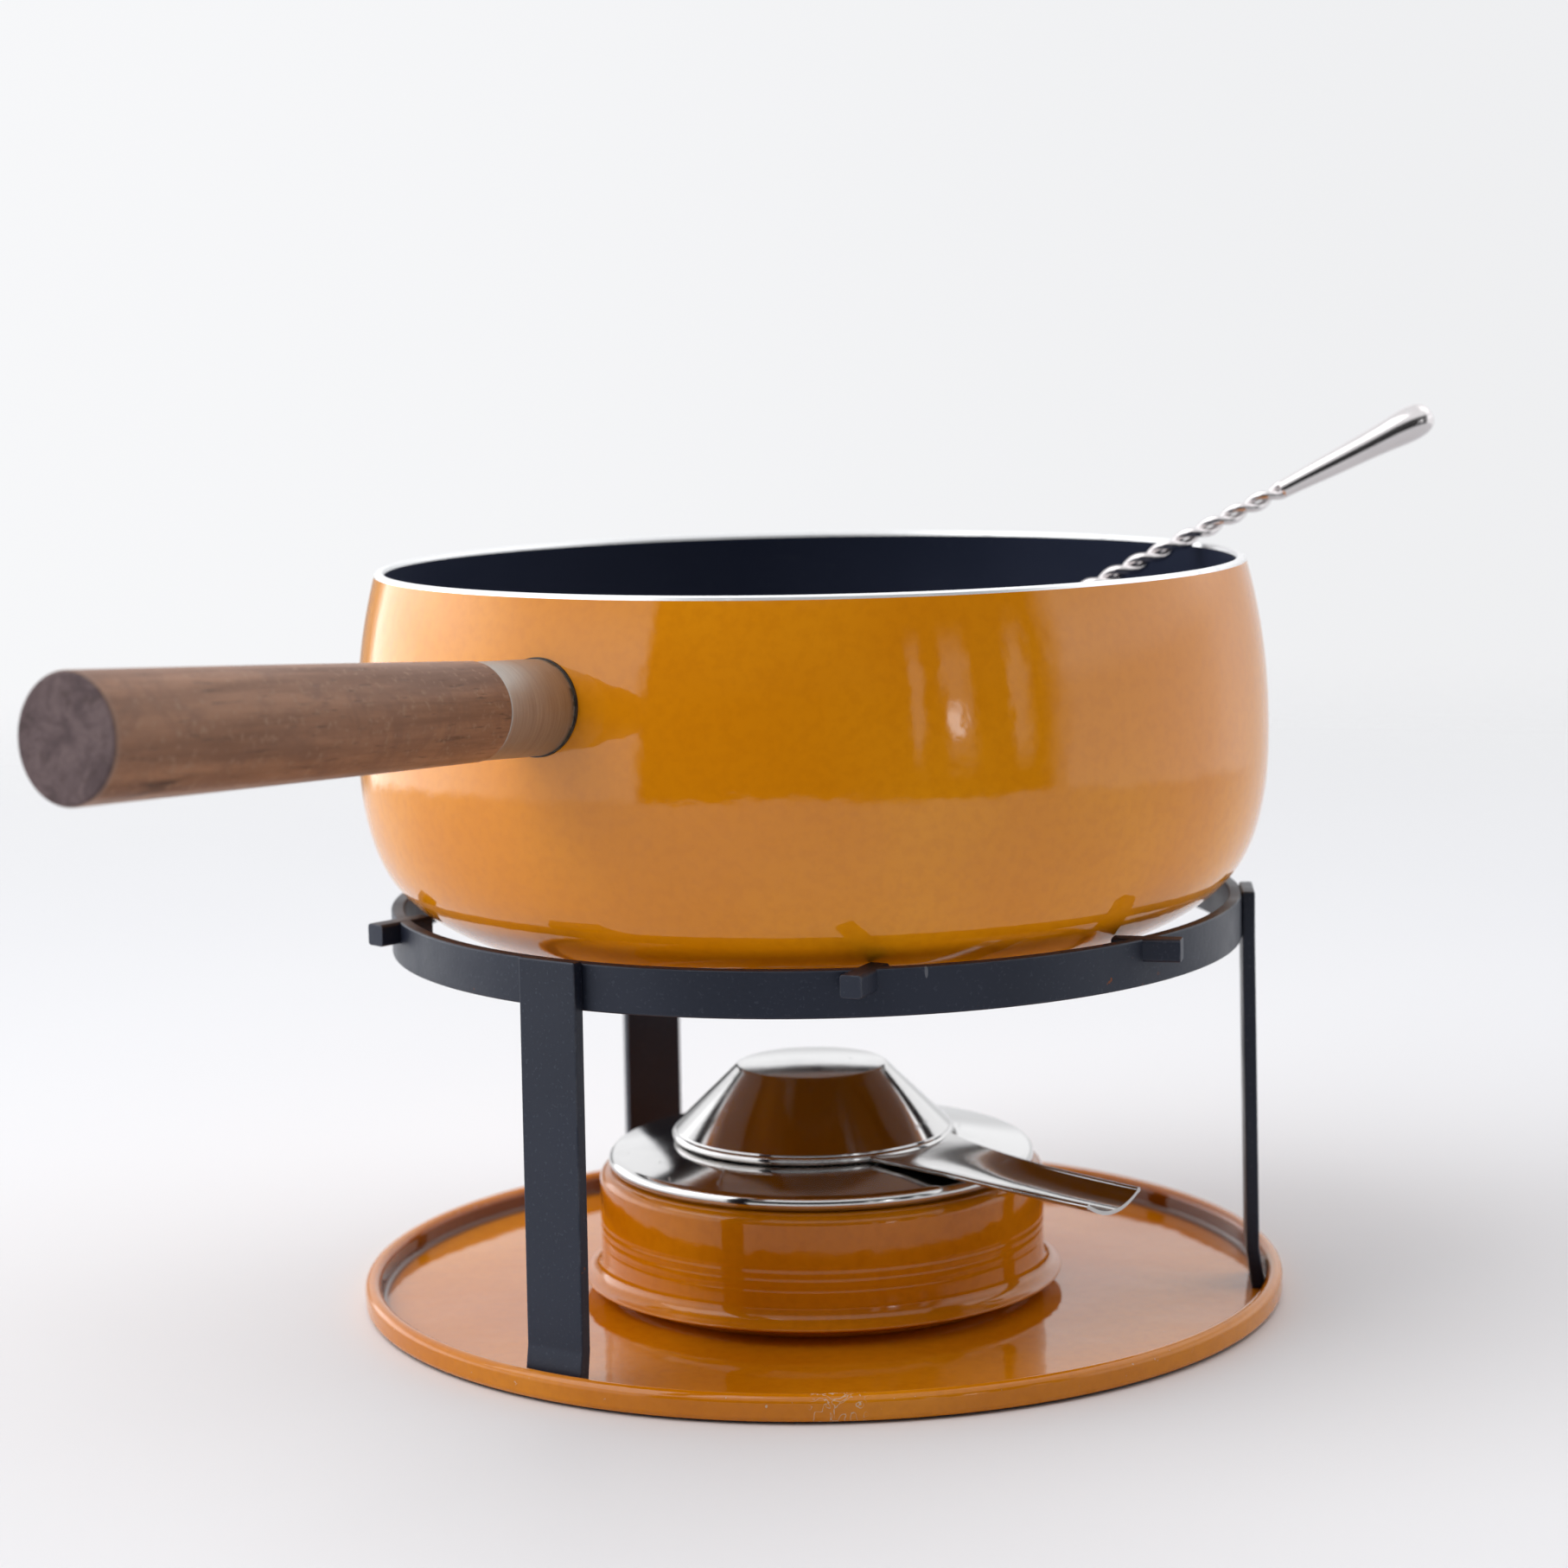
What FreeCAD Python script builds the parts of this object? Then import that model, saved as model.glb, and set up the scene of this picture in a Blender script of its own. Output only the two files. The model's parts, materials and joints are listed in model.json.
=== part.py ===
import FreeCAD, Part
import math
import os

from FreeCAD import Placement, Rotation, Vector

# Fondue pot set. Units are millimetres and degrees.
# The origin is the centre of the tray's underside, +Z is up.
# An azimuth is measured around +Z from the -Y side and grows towards +X.

# ---- tray ----
SHEET = 0.9                      # tray sheet thickness
TRAY_RADIUS = 108.0              # outside of the rolled rim
TRAY_HEIGHT = 6.3                # table to top of the rim
RIM_ROLL = 1.9                   # outside radius of the roll at the top of the rim
RIM_HEM = 1.5                    # outside radius of the hem at the foot of the rim
TRAY_CORNER = 1.2                # inside radius between floor and wall
TRAY_FLOOR = SHEET               # height of the floor's top face

# ---- stand ----
RING_RADIUS = 98.8               # outside of the ring
RING_BAR = 3.0                   # ring and leg bar thickness
RING_TOP = 94.1
RING_HEIGHT = 10.2
LEG_WIDTH = 15.0
LEG_TOP = 94.7
LEG_AZIMUTHS = {"front": -34.3, "right": 85.7, "rear": 205.7}
LEG_SPLAY = 0.8                  # outward lean over the height of a leg
LEG_KICK = 1.2                   # further outward lean of the foot
LEG_KICK_HEIGHT = 10.5
LEG_TOE = 1.5                    # bevel of the foot's outer edge, clear of the tray's corner
PEG_SIZE = 5.0                   # square bars that carry the pot
PEG_OUT = 6.8                    # how far a bar stands out of the ring
PEG_IN = 8.3                     # how far it reaches in from the ring's outer face
PEG_PAIR_AZIMUTHS = (26.0, 146.0, 266.0)
PEG_PAIR_SPREAD = 20.5           # half the angle between the two bars of a pair
PEG_TOE = 30.0                   # angle between a bar and the ring's radius

# ---- pot ----
POT_WALL = 2.2
POT_RIM_RADIUS = 100.0
POT_RIM = 171.5                  # height of the rim's edges
POT_RIM_CROWN = 0.4
POT_BASE = 85.1                  # height of the flat underside
POT_BASE_RADIUS = 66.0
# The side from the rim down to the edge of the flat base, as (radius, height)
POT_SIDE = [
    (POT_RIM_RADIUS, POT_RIM),
    (103.9, 152.5),
    (105.1, 133.5),
    (103.6, 115.0),
    (98.2, 101.3),
    (87.0, 91.7),
    (POT_BASE_RADIUS, POT_BASE),
]

# ---- pot handle, measured along its own axis from the pot wall ----
HANDLE_AZIMUTH = -33.3
HANDLE_TILT = 3.7
HANDLE_ROOT_RADIUS = 104.4       # where the axis leaves the pot wall
HANDLE_ROOT_HEIGHT = 148.6
GASKET = 0.6
FERRULE_RADIUS = 10.1
FERRULE_WALL = 0.8
FERRULE_END = 21.0
GRIP_END = 135.4
GRIP_ROOT_RADIUS = 10.3
GRIP_END_RADIUS = 12.2
GRIP_EDGE = 1.0
SPIGOT = 10.0                    # length of the grip's end inside the ferrule
BOSS_RADIUS = 7.5
BOSS_LENGTH = 7.0
STUD_RADIUS = 3.0
STUD_END = 60.0
INSERT_RADIUS = 4.5
INSERT_LENGTH = 28.0

# ---- fork, measured along its own axis from the tine tips ----
FORK_TIP = Vector(-77.0, 21.0, 92.1)
FORK_ON_RIM = Vector(94.4, 29.8, 175.1)
FORK_LENGTH = 251.5
FORK_HANDLE = 40.3
FORK_HANDLE_RADIUS = 4.1
FORK_NECK_RADIUS = 2.2
STRAND_RADIUS = 1.05
STRAND_CLEARANCE = 0.15          # half the gap left between the two rods
TWIST_PITCH = 13.0
TWIST_START = 46.0               # the two rods are twisted from here up to the handle
TINE_SPREAD = 3.6                # half the distance between the tines
TINE_STRAIGHT = 34.0
TINE_POINT = 7.0
TINE_TIP_RADIUS = 0.3

# ---- burner ----
HOLDER_FOOT_RADIUS = 49.3
HOLDER_LIP_RADIUS = 56.0
HOLDER_LIP = 4.8                 # height of the lip's edge
HOLDER_RADIUS = 52.3
HOLDER_WALL = 1.2
HOLDER_TOP = 29.9
HOLDER_SHOULDER = 2.6
HOLDER_MOUTH_RADIUS = 45.5
HOLDER_GROOVES = (12.9, 15.5, 17.5)
HOLDER_GROOVE_RADIUS = 1.0
HOLDER_GROOVE_DEPTH = 0.16
PLATE_RADIUS = 50.1
PLATE_ROLL = 1.9
PLATE_SHEET = 0.7
PLATE_MOUTH_RADIUS = 31.6
PLATE_MOUTH = 36.3               # height of the plate at its mouth
CUP_RADIUS = 31.0
CUP_WALL = 0.6
CUP_BASE = 10.5
WADDING_TOP = 31.5
GAUZE = 0.6

# ---- snuffer ----
SNUFFER_OFFSET = Vector(-1.8, 0.0, 0.0)
CONE_BASE_RADIUS = 33.2
CONE_BASE = 36.5
CONE_BEAD = 1.0
CONE_TOP_RADIUS = 18.4
CONE_TOP = 53.5
CONE_CROWN = 0.8                 # how far the pressed top bulges above CONE_TOP
CONE_EDGE = 1.6
CONE_SHEET = 0.7
LEVER_AZIMUTH = 49.0
LEVER_SHEET = 0.9
# Sections of the lever, each given as
# (distance from the cone's axis, half width, height of the edges, depth of the trough)
LEVER_SECTIONS = [
    (26.0, 15.4, 38.4, 0.05),
    (38.0, 12.4, 37.2, 0.2),
    (49.0, 10.9, 36.4, 1.1),
    (61.0, 10.2, 35.6, 2.6),
    (74.0, 9.9, 35.1, 3.1),
    (87.5, 9.6, 34.7, 3.2),
]

REST_GAP = 0.05                  # gap left between loose parts that stand on each other
Z_AXIS = Vector(0, 0, 1)
ORIGIN = Vector(0, 0, 0)


def point(radius, height):
    return Vector(radius, 0, height)


def line(start, end):
    return Part.makeLine(point(*start), point(*end))


def arc(start, middle, end):
    return Part.Arc(point(*start), point(*middle), point(*end)).toShape()


def round_arc(centre, radius, from_angle, to_angle):
    """An arc about centre, with its angles in degrees from the outward direction."""
    angles = (from_angle, (from_angle + to_angle) / 2, to_angle)
    return arc(*[on_circle(centre, radius, angle) for angle in angles])


def on_circle(centre, radius, angle):
    turn = math.radians(angle)
    return (centre[0] + radius * math.cos(turn), centre[1] + radius * math.sin(turn))


def polyline(points):
    return [line(a, b) for a, b in zip(points, points[1:])]


def revolved(edges):
    """The solid swept by a closed outline in the XZ plane, turned once around Z."""
    wire = Part.Wire(Part.__sortEdges__(edges))
    return Part.Face(wire).revolve(ORIGIN, Z_AXIS, 360)


def cylinder(radius, start, end):
    return Part.makeCylinder(radius, end - start, Vector(0, 0, start))


def tube(outer, inner, start, end):
    return cylinder(outer, start, end).cut(cylinder(inner, start, end))


def outward(azimuth):
    turn = math.radians(azimuth)
    return Vector(math.sin(turn), -math.cos(turn), 0)


def facing(shape, azimuth):
    """Turn a shape that points along +X so that it points along an azimuth."""
    turned = shape.copy()
    turned.rotate(ORIGIN, Z_AXIS, azimuth - 90)
    return turned


def along(shape, start, direction):
    """Move a shape built along +Z so that it starts at a point and runs in a direction."""
    moved = shape.copy()
    moved.Placement = Placement(start, Rotation(Z_AXIS, direction))
    return moved


# ---------------------------------------------------------------- tray

def tray_pan():
    wall_in = TRAY_RADIUS - 2 * RIM_ROLL
    wall_out = wall_in + SHEET
    side_in = TRAY_RADIUS - SHEET
    floor_end = wall_in - TRAY_CORNER
    corner = (floor_end, TRAY_FLOOR + TRAY_CORNER)
    roll = (TRAY_RADIUS - RIM_ROLL, TRAY_HEIGHT - RIM_ROLL)
    hem = (TRAY_RADIUS - RIM_HEM, RIM_HEM + 0.4)
    hem_end = -75
    edges = [
        line((0, 0), (floor_end, 0)),
        round_arc(corner, TRAY_CORNER + SHEET, -90, 0),
        line((wall_out, corner[1]), (wall_out, roll[1])),
        round_arc(roll, RIM_ROLL - SHEET, 180, 0),
        line((side_in, roll[1]), (side_in, hem[1])),
        round_arc(hem, RIM_HEM - SHEET, 0, hem_end),
        line(on_circle(hem, RIM_HEM - SHEET, hem_end), on_circle(hem, RIM_HEM, hem_end)),
        round_arc(hem, RIM_HEM, hem_end, 0),
        line((TRAY_RADIUS, hem[1]), (TRAY_RADIUS, roll[1])),
        round_arc(roll, RIM_ROLL, 0, 180),
        line((wall_in, roll[1]), (wall_in, corner[1])),
        round_arc(corner, TRAY_CORNER, 0, -90),
        line((floor_end, TRAY_FLOOR), (0, TRAY_FLOOR)),
        line((0, TRAY_FLOOR), (0, 0)),
    ]
    return revolved(edges)


# ---------------------------------------------------------------- stand

def support_peg(azimuth, toe):
    """One square bar that crosses the ring at an azimuth, turned away from the radius by toe."""
    corner = Vector(-PEG_IN, -PEG_SIZE / 2, RING_TOP - PEG_SIZE)
    bar = Part.makeBox(PEG_IN + PEG_OUT, PEG_SIZE, PEG_SIZE, corner)
    long_edges = [edge for edge in bar.Edges if abs(edge.tangentAt(0).x) > 0.9]
    bar = bar.makeFillet(0.7, long_edges)
    bar.rotate(ORIGIN, Z_AXIS, azimuth + toe - 90)
    bar.translate(outward(azimuth) * RING_RADIUS)
    return bar


def support_pegs():
    bars = []
    for middle in PEG_PAIR_AZIMUTHS:
        for side in (-1, 1):
            bars.append(support_peg(middle + side * PEG_PAIR_SPREAD, side * PEG_TOE))
    return Part.makeCompound(bars)


def stand_ring(pegs):
    hoop = tube(RING_RADIUS, RING_RADIUS - RING_BAR, RING_TOP - RING_HEIGHT, RING_TOP)
    return hoop.cut(pegs).Solids[0]


def stand_leg(azimuth):
    foot = TRAY_FLOOR + REST_GAP
    bend = RING_TOP - RING_HEIGHT
    inner = [
        (RING_RADIUS - 0.2, LEG_TOP),
        (RING_RADIUS - 0.2, bend),
        (RING_RADIUS - 0.2 + LEG_SPLAY, LEG_KICK_HEIGHT),
        (RING_RADIUS - 0.2 + LEG_SPLAY + LEG_KICK, foot),
    ]
    outer = [(radius + RING_BAR, height) for radius, height in inner[:-1]]
    toe = inner[-1][0] + RING_BAR
    outer += [(toe, foot + LEG_TOE), (toe - LEG_TOE, foot)]
    side = Part.Face(Part.Wire(polyline(inner + outer[::-1] + inner[:1])))
    side.translate(Vector(0, -LEG_WIDTH / 2, 0))
    bar = side.extrude(Vector(0, LEG_WIDTH, 0))
    bar = bar.cut(cylinder(RING_RADIUS, bend - 1, LEG_TOP + 1))
    return facing(bar.Solids[0], azimuth)


# ---------------------------------------------------------------- pot

def side_curve(offset=0.0):
    """The pot's side as a smooth curve, moved out along its normal by offset."""
    spine = Part.BSplineCurve()
    spine.interpolate([point(*place) for place in POT_SIDE], InitialTangent=Vector(0.28, 0, -1),
                      FinalTangent=Vector(-1, 0, -0.08))
    if offset == 0:
        return spine
    places = []
    for step in range(13):
        value = spine.FirstParameter + (spine.LastParameter - spine.FirstParameter) * step / 12
        tangent = spine.tangent(value)[0]
        normal = Vector(-tangent.z, 0, tangent.x)
        places.append(spine.value(value) + normal * offset)
    places[-1] = point(POT_BASE_RADIUS, POT_BASE - offset)
    moved = Part.BSplineCurve()
    moved.interpolate(places)
    return moved


def pot_body(offset=0.0):
    """The solid inside the pot's outer face, grown or shrunk by offset, with an open-topped rim line."""
    curve = side_curve(offset)
    top = curve.value(curve.FirstParameter)
    foot = curve.value(curve.LastParameter)
    edges = [
        curve.toShape(),
        line((foot.x, foot.z), (0, foot.z)),
        line((0, foot.z), (0, top.z)),
        line((0, top.z), (top.x, top.z)),
    ]
    return revolved(edges)


def pot_shell():
    outer = side_curve()
    inner = side_curve(-POT_WALL)
    lip_out = outer.value(outer.FirstParameter)
    lip_in = inner.value(inner.FirstParameter)
    foot_out = outer.value(outer.LastParameter)
    foot_in = inner.value(inner.LastParameter)
    crown = ((lip_out.x + lip_in.x) / 2, POT_RIM + POT_RIM_CROWN)
    edges = [
        outer.toShape(),
        line((foot_out.x, foot_out.z), (0, foot_out.z)),
        line((0, foot_out.z), (0, foot_in.z)),
        line((0, foot_in.z), (foot_in.x, foot_in.z)),
        inner.toShape(),
        arc((lip_in.x, lip_in.z), crown, (lip_out.x, lip_out.z)),
    ]
    return revolved(edges)


def on_handle(shape):
    tilt = math.radians(HANDLE_TILT)
    root = outward(HANDLE_AZIMUTH) * HANDLE_ROOT_RADIUS + Z_AXIS * HANDLE_ROOT_HEIGHT
    direction = outward(HANDLE_AZIMUTH) * math.cos(tilt) + Z_AXIS * math.sin(tilt)
    return along(shape, root, direction)


def handle_gasket():
    washer = on_handle(tube(FERRULE_RADIUS + 0.3, FERRULE_RADIUS - FERRULE_WALL, -4, 4))
    return washer.common(pot_body(GASKET)).cut(pot_body())


def handle_ferrule():
    sleeve = on_handle(tube(FERRULE_RADIUS, FERRULE_RADIUS - FERRULE_WALL, -4, FERRULE_END))
    return sleeve.cut(pot_body(GASKET))


def handle_boss():
    block = tube(BOSS_RADIUS, STUD_RADIUS, -4, BOSS_LENGTH)
    return on_handle(block).cut(pot_body())


def handle_stud():
    return on_handle(cylinder(STUD_RADIUS, 2, STUD_END))


def grip_insert():
    start = FERRULE_END - SPIGOT + 2
    return on_handle(tube(INSERT_RADIUS, STUD_RADIUS, start, start + INSERT_LENGTH))


def handle_grip():
    start = FERRULE_END - SPIGOT
    spigot = FERRULE_RADIUS - FERRULE_WALL - 0.02
    root = FERRULE_END + REST_GAP
    edges = [
        line((0, start), (spigot, start)),
        line((spigot, start), (spigot, root)),
        line((spigot, root), (GRIP_ROOT_RADIUS - 0.4, root)),
        round_arc((GRIP_ROOT_RADIUS - 0.4, root + 0.4), 0.4, -90, 0),
        line((GRIP_ROOT_RADIUS, root + 0.4), (GRIP_END_RADIUS, GRIP_END - GRIP_EDGE)),
        round_arc((GRIP_END_RADIUS - GRIP_EDGE, GRIP_END - GRIP_EDGE), GRIP_EDGE, 0, 90),
        line((GRIP_END_RADIUS - GRIP_EDGE, GRIP_END), (0, GRIP_END)),
        line((0, GRIP_END), (0, start)),
    ]
    wood = revolved(edges)
    socket_end = start + 2 + INSERT_LENGTH
    wood = wood.cut(cylinder(INSERT_RADIUS, start - 1, socket_end))
    wood = wood.cut(cylinder(STUD_RADIUS, socket_end - 1, STUD_END + 1))
    return on_handle(wood)


# ---------------------------------------------------------------- fork

def on_fork(shape):
    return along(shape, FORK_TIP, FORK_ON_RIM - FORK_TIP)


def fork_handle():
    neck = FORK_LENGTH - FORK_HANDLE
    belly = FORK_LENGTH - FORK_HANDLE_RADIUS - 1.5
    outline = Part.BSplineCurve()
    outline.interpolate([
        point(FORK_NECK_RADIUS, neck),
        point(FORK_NECK_RADIUS + 0.6, neck + FORK_HANDLE * 0.3),
        point(FORK_HANDLE_RADIUS - 0.35, neck + FORK_HANDLE * 0.72),
        point(FORK_HANDLE_RADIUS, belly),
        point(FORK_HANDLE_RADIUS * 0.62, FORK_LENGTH - 0.8),
        point(0, FORK_LENGTH),
    ], InitialTangent=Vector(0.02, 0, 1), FinalTangent=Vector(-1, 0, 0))
    edges = [
        outline.toShape(),
        line((0, FORK_LENGTH), (0, neck)),
        line((0, neck), (FORK_NECK_RADIUS, neck)),
    ]
    return on_fork(revolved(edges))


def strand_path(phase):
    """Centre line of one rod: straight tine, a bend inwards, then a helix up to the handle.

    A phase of a quarter turn puts the tine level with the fork's axis, to one side of it.
    """
    reach = STRAND_RADIUS + STRAND_CLEARANCE
    top = FORK_LENGTH - FORK_HANDLE - REST_GAP
    start_angle = phase - 2 * math.pi * TWIST_START / TWIST_PITCH
    places = []
    for height in (TINE_POINT, TINE_STRAIGHT * 0.5, TINE_STRAIGHT):
        places.append(Vector(TINE_SPREAD * math.cos(phase), TINE_SPREAD * math.sin(phase), height))
    middle = (TINE_STRAIGHT + TWIST_START) / 2
    places.append(Vector(math.cos(phase) * 2.3, math.sin(phase) * 2.3, middle))
    steps = int((top - TWIST_START) / TWIST_PITCH * 10)
    for step in range(steps + 1):
        height = TWIST_START + (top - TWIST_START) * step / steps
        turn = start_angle + 2 * math.pi * height / TWIST_PITCH
        places.append(Vector(reach * math.cos(turn), reach * math.sin(turn), height))
    path = Part.BSplineCurve()
    path.interpolate(places, InitialTangent=Z_AXIS, FinalTangent=Z_AXIS)
    return path


def fork_strand(phase):
    path = strand_path(phase)
    start = path.value(path.FirstParameter)
    section = Part.Wire(Part.makeCircle(STRAND_RADIUS, start, path.tangent(path.FirstParameter)[0]))
    rod = Part.Wire(path.toShape()).makePipeShell([section], True, False)
    point_cone = Part.makeCone(TINE_TIP_RADIUS, STRAND_RADIUS, TINE_POINT, Vector(start.x, start.y, 0))
    return on_fork(rod.fuse(point_cone).removeSplitter())


# ---------------------------------------------------------------- burner

def burner_holder():
    foot = TRAY_FLOOR + REST_GAP
    inside = HOLDER_RADIUS - HOLDER_WALL
    shoulder = (HOLDER_RADIUS - HOLDER_SHOULDER, HOLDER_TOP - HOLDER_SHOULDER)
    lip_low = (HOLDER_LIP_RADIUS, HOLDER_LIP - 0.35)
    lip_high = (HOLDER_LIP_RADIUS, HOLDER_LIP + 0.35)
    edges = [
        line((0, foot), (HOLDER_FOOT_RADIUS - 1.5, foot)),
        round_arc((HOLDER_FOOT_RADIUS - 1.5, foot + 1.5), 1.5, -90, 0),
        arc((HOLDER_FOOT_RADIUS, foot + 1.5), (HOLDER_FOOT_RADIUS + 1.6, HOLDER_LIP - 1.9), lip_low),
        arc(lip_low, (HOLDER_LIP_RADIUS + 0.35, HOLDER_LIP), lip_high),
        arc(lip_high, (HOLDER_RADIUS + 1.0, HOLDER_LIP + 1.5), (HOLDER_RADIUS, HOLDER_LIP + 4.6)),
        line((HOLDER_RADIUS, HOLDER_LIP + 4.6), (HOLDER_RADIUS, shoulder[1])),
        round_arc(shoulder, HOLDER_SHOULDER, 0, 90),
        line((shoulder[0], HOLDER_TOP), (HOLDER_MOUTH_RADIUS, HOLDER_TOP)),
        line((HOLDER_MOUTH_RADIUS, HOLDER_TOP), (HOLDER_MOUTH_RADIUS, HOLDER_TOP - HOLDER_WALL)),
        line((HOLDER_MOUTH_RADIUS, HOLDER_TOP - HOLDER_WALL), (shoulder[0], HOLDER_TOP - HOLDER_WALL)),
        round_arc(shoulder, HOLDER_SHOULDER - HOLDER_WALL, 90, 0),
        line((inside, shoulder[1]), (inside, HOLDER_LIP + 4.6)),
        arc((inside, HOLDER_LIP + 4.6), (inside - 1.2, HOLDER_LIP - 0.6), (inside - 4, foot + HOLDER_WALL)),
        line((inside - 4, foot + HOLDER_WALL), (0, foot + HOLDER_WALL)),
        line((0, foot + HOLDER_WALL), (0, foot)),
    ]
    holder = revolved(edges)
    for height in HOLDER_GROOVES:
        cutter_radius = HOLDER_RADIUS + HOLDER_GROOVE_RADIUS - HOLDER_GROOVE_DEPTH
        cutter = Part.makeTorus(cutter_radius, HOLDER_GROOVE_RADIUS, Vector(0, 0, height))
        holder = holder.cut(cutter)
    return holder


def burner_plate():
    roll = (PLATE_RADIUS - PLATE_ROLL, HOLDER_TOP + 0.02 + PLATE_ROLL)
    top = roll[1] + PLATE_ROLL
    neck = PLATE_MOUTH_RADIUS + 1.2
    collar = PLATE_MOUTH_RADIUS + PLATE_SHEET
    roll_end = -160
    inner_roll = PLATE_ROLL - PLATE_SHEET
    edges = [
        round_arc(roll, PLATE_ROLL, 90, roll_end),
        line(on_circle(roll, PLATE_ROLL, roll_end), on_circle(roll, inner_roll, roll_end)),
        round_arc(roll, inner_roll, roll_end, 90),
        line((roll[0], top - PLATE_SHEET), (neck, PLATE_MOUTH - PLATE_SHEET)),
        line((neck, PLATE_MOUTH - PLATE_SHEET), (collar, PLATE_MOUTH - 1.4)),
        line((collar, PLATE_MOUTH - 1.4), (collar, WADDING_TOP)),
        line((collar, WADDING_TOP), (PLATE_MOUTH_RADIUS, WADDING_TOP)),
        line((PLATE_MOUTH_RADIUS, WADDING_TOP), (PLATE_MOUTH_RADIUS, PLATE_MOUTH - 1.2)),
        round_arc((neck, PLATE_MOUTH - 1.2), 1.2, 180, 90),
        line((neck, PLATE_MOUTH), (roll[0], top)),
    ]
    return revolved(edges)


def fuel_cup():
    wall = CUP_RADIUS - CUP_WALL
    rim = PLATE_MOUTH - 1.6
    outside = [
        (0, CUP_BASE),
        (CUP_RADIUS - 2, CUP_BASE),
        (CUP_RADIUS, CUP_BASE + 2),
        (CUP_RADIUS, WADDING_TOP),
        (PLATE_MOUTH_RADIUS - 0.02, WADDING_TOP + 0.6),
        (PLATE_MOUTH_RADIUS - 0.02, rim),
    ]
    inside = [
        (PLATE_MOUTH_RADIUS - CUP_WALL, rim),
        (PLATE_MOUTH_RADIUS - CUP_WALL, WADDING_TOP + 0.9),
        (wall, WADDING_TOP + 0.3),
        (wall, CUP_BASE + 2.2),
        (wall - 1.6, CUP_BASE + CUP_WALL),
        (0, CUP_BASE + CUP_WALL),
    ]
    return revolved(polyline(outside + inside + outside[:1]))


def fuel_wadding():
    return cylinder(CUP_RADIUS - CUP_WALL - 0.2, CUP_BASE + 2.3, WADDING_TOP)


def burner_gauze():
    return cylinder(CUP_RADIUS - CUP_WALL - 0.1, WADDING_TOP + 0.02, WADDING_TOP + 0.02 + GAUZE)


# ---------------------------------------------------------------- snuffer

def cone_outline(inset):
    """Side and top of the cone, moved in by inset, as edges from its foot to the axis."""
    foot = (CONE_BASE_RADIUS - CONE_BEAD - inset, CONE_BASE + 2 * CONE_BEAD)
    lean = math.atan2(CONE_TOP - foot[1], foot[0] - CONE_TOP_RADIUS)
    edge = CONE_EDGE - inset
    centre = (CONE_TOP_RADIUS - CONE_EDGE * math.tan(lean / 2), CONE_TOP - CONE_EDGE)
    side_angle = 90 - math.degrees(lean)
    side_end = on_circle(centre, edge, side_angle)
    rim = (centre[0], centre[1] + edge)
    dome = (rim[0] ** 2 + CONE_CROWN ** 2) / (2 * CONE_CROWN)
    halfway = (rim[0] / 2, rim[1] + CONE_CROWN - dome + math.sqrt(dome ** 2 - rim[0] ** 2 / 4))
    return [
        line(foot, side_end),
        round_arc(centre, edge, side_angle, 90),
        arc(rim, halfway, (0, rim[1] + CONE_CROWN)),
    ]


def cone_body(inset=0.0):
    foot = (CONE_BASE_RADIUS - CONE_BEAD - inset, CONE_BASE + 2 * CONE_BEAD)
    edges = cone_outline(inset)
    edges.append(line((0, CONE_TOP - inset + CONE_CROWN), (0, foot[1])))
    edges.append(line((0, foot[1]), foot))
    return revolved(edges)


def cone_bead():
    return Part.makeTorus(CONE_BASE_RADIUS - CONE_BEAD, CONE_BEAD, Vector(0, 0, CONE_BASE + CONE_BEAD))


def snuffer_cone():
    shell = cone_body().cut(cone_body(CONE_SHEET))
    outer = CONE_BASE_RADIUS - CONE_BEAD
    skirt = tube(outer, outer - CONE_SHEET, CONE_BASE + CONE_BEAD, CONE_BASE + 2 * CONE_BEAD)
    cone = shell.fuse([cone_bead(), skirt]).removeSplitter()
    cone.translate(SNUFFER_OFFSET)
    return cone.Solids[0]


def lever_section(distance, half_width, edge, depth):
    """One cross-section of the lever's sheet: a shallow trough of even thickness."""
    def spot(side, height):
        return Vector(distance, side, height)

    left = spot(-half_width, edge)
    right = spot(half_width, edge)
    under_left = spot(-half_width, edge - LEVER_SHEET)
    under_right = spot(half_width, edge - LEVER_SHEET)
    top = Part.Arc(left, spot(0, edge - depth), right).toShape()
    bottom = Part.Arc(under_right, spot(0, edge - depth - LEVER_SHEET), under_left).toShape()
    return Part.Wire([top, Part.makeLine(right, under_right), bottom, Part.makeLine(under_left, left)])


def snuffer_lever():
    sections = [lever_section(*section) for section in LEVER_SECTIONS]
    lever = facing(Part.makeLoft(sections, True, False), LEVER_AZIMUTH)
    core = cylinder(CONE_BASE_RADIUS - CONE_BEAD, CONE_BASE - 2, CONE_BASE + 2 * CONE_BEAD)
    lever = lever.cut([cone_body(), cone_bead(), core])
    lever = max(lever.Solids, key=lambda solid: solid.Volume)
    lever.translate(SNUFFER_OFFSET)
    return lever


# ---------------------------------------------------------------- output

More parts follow.
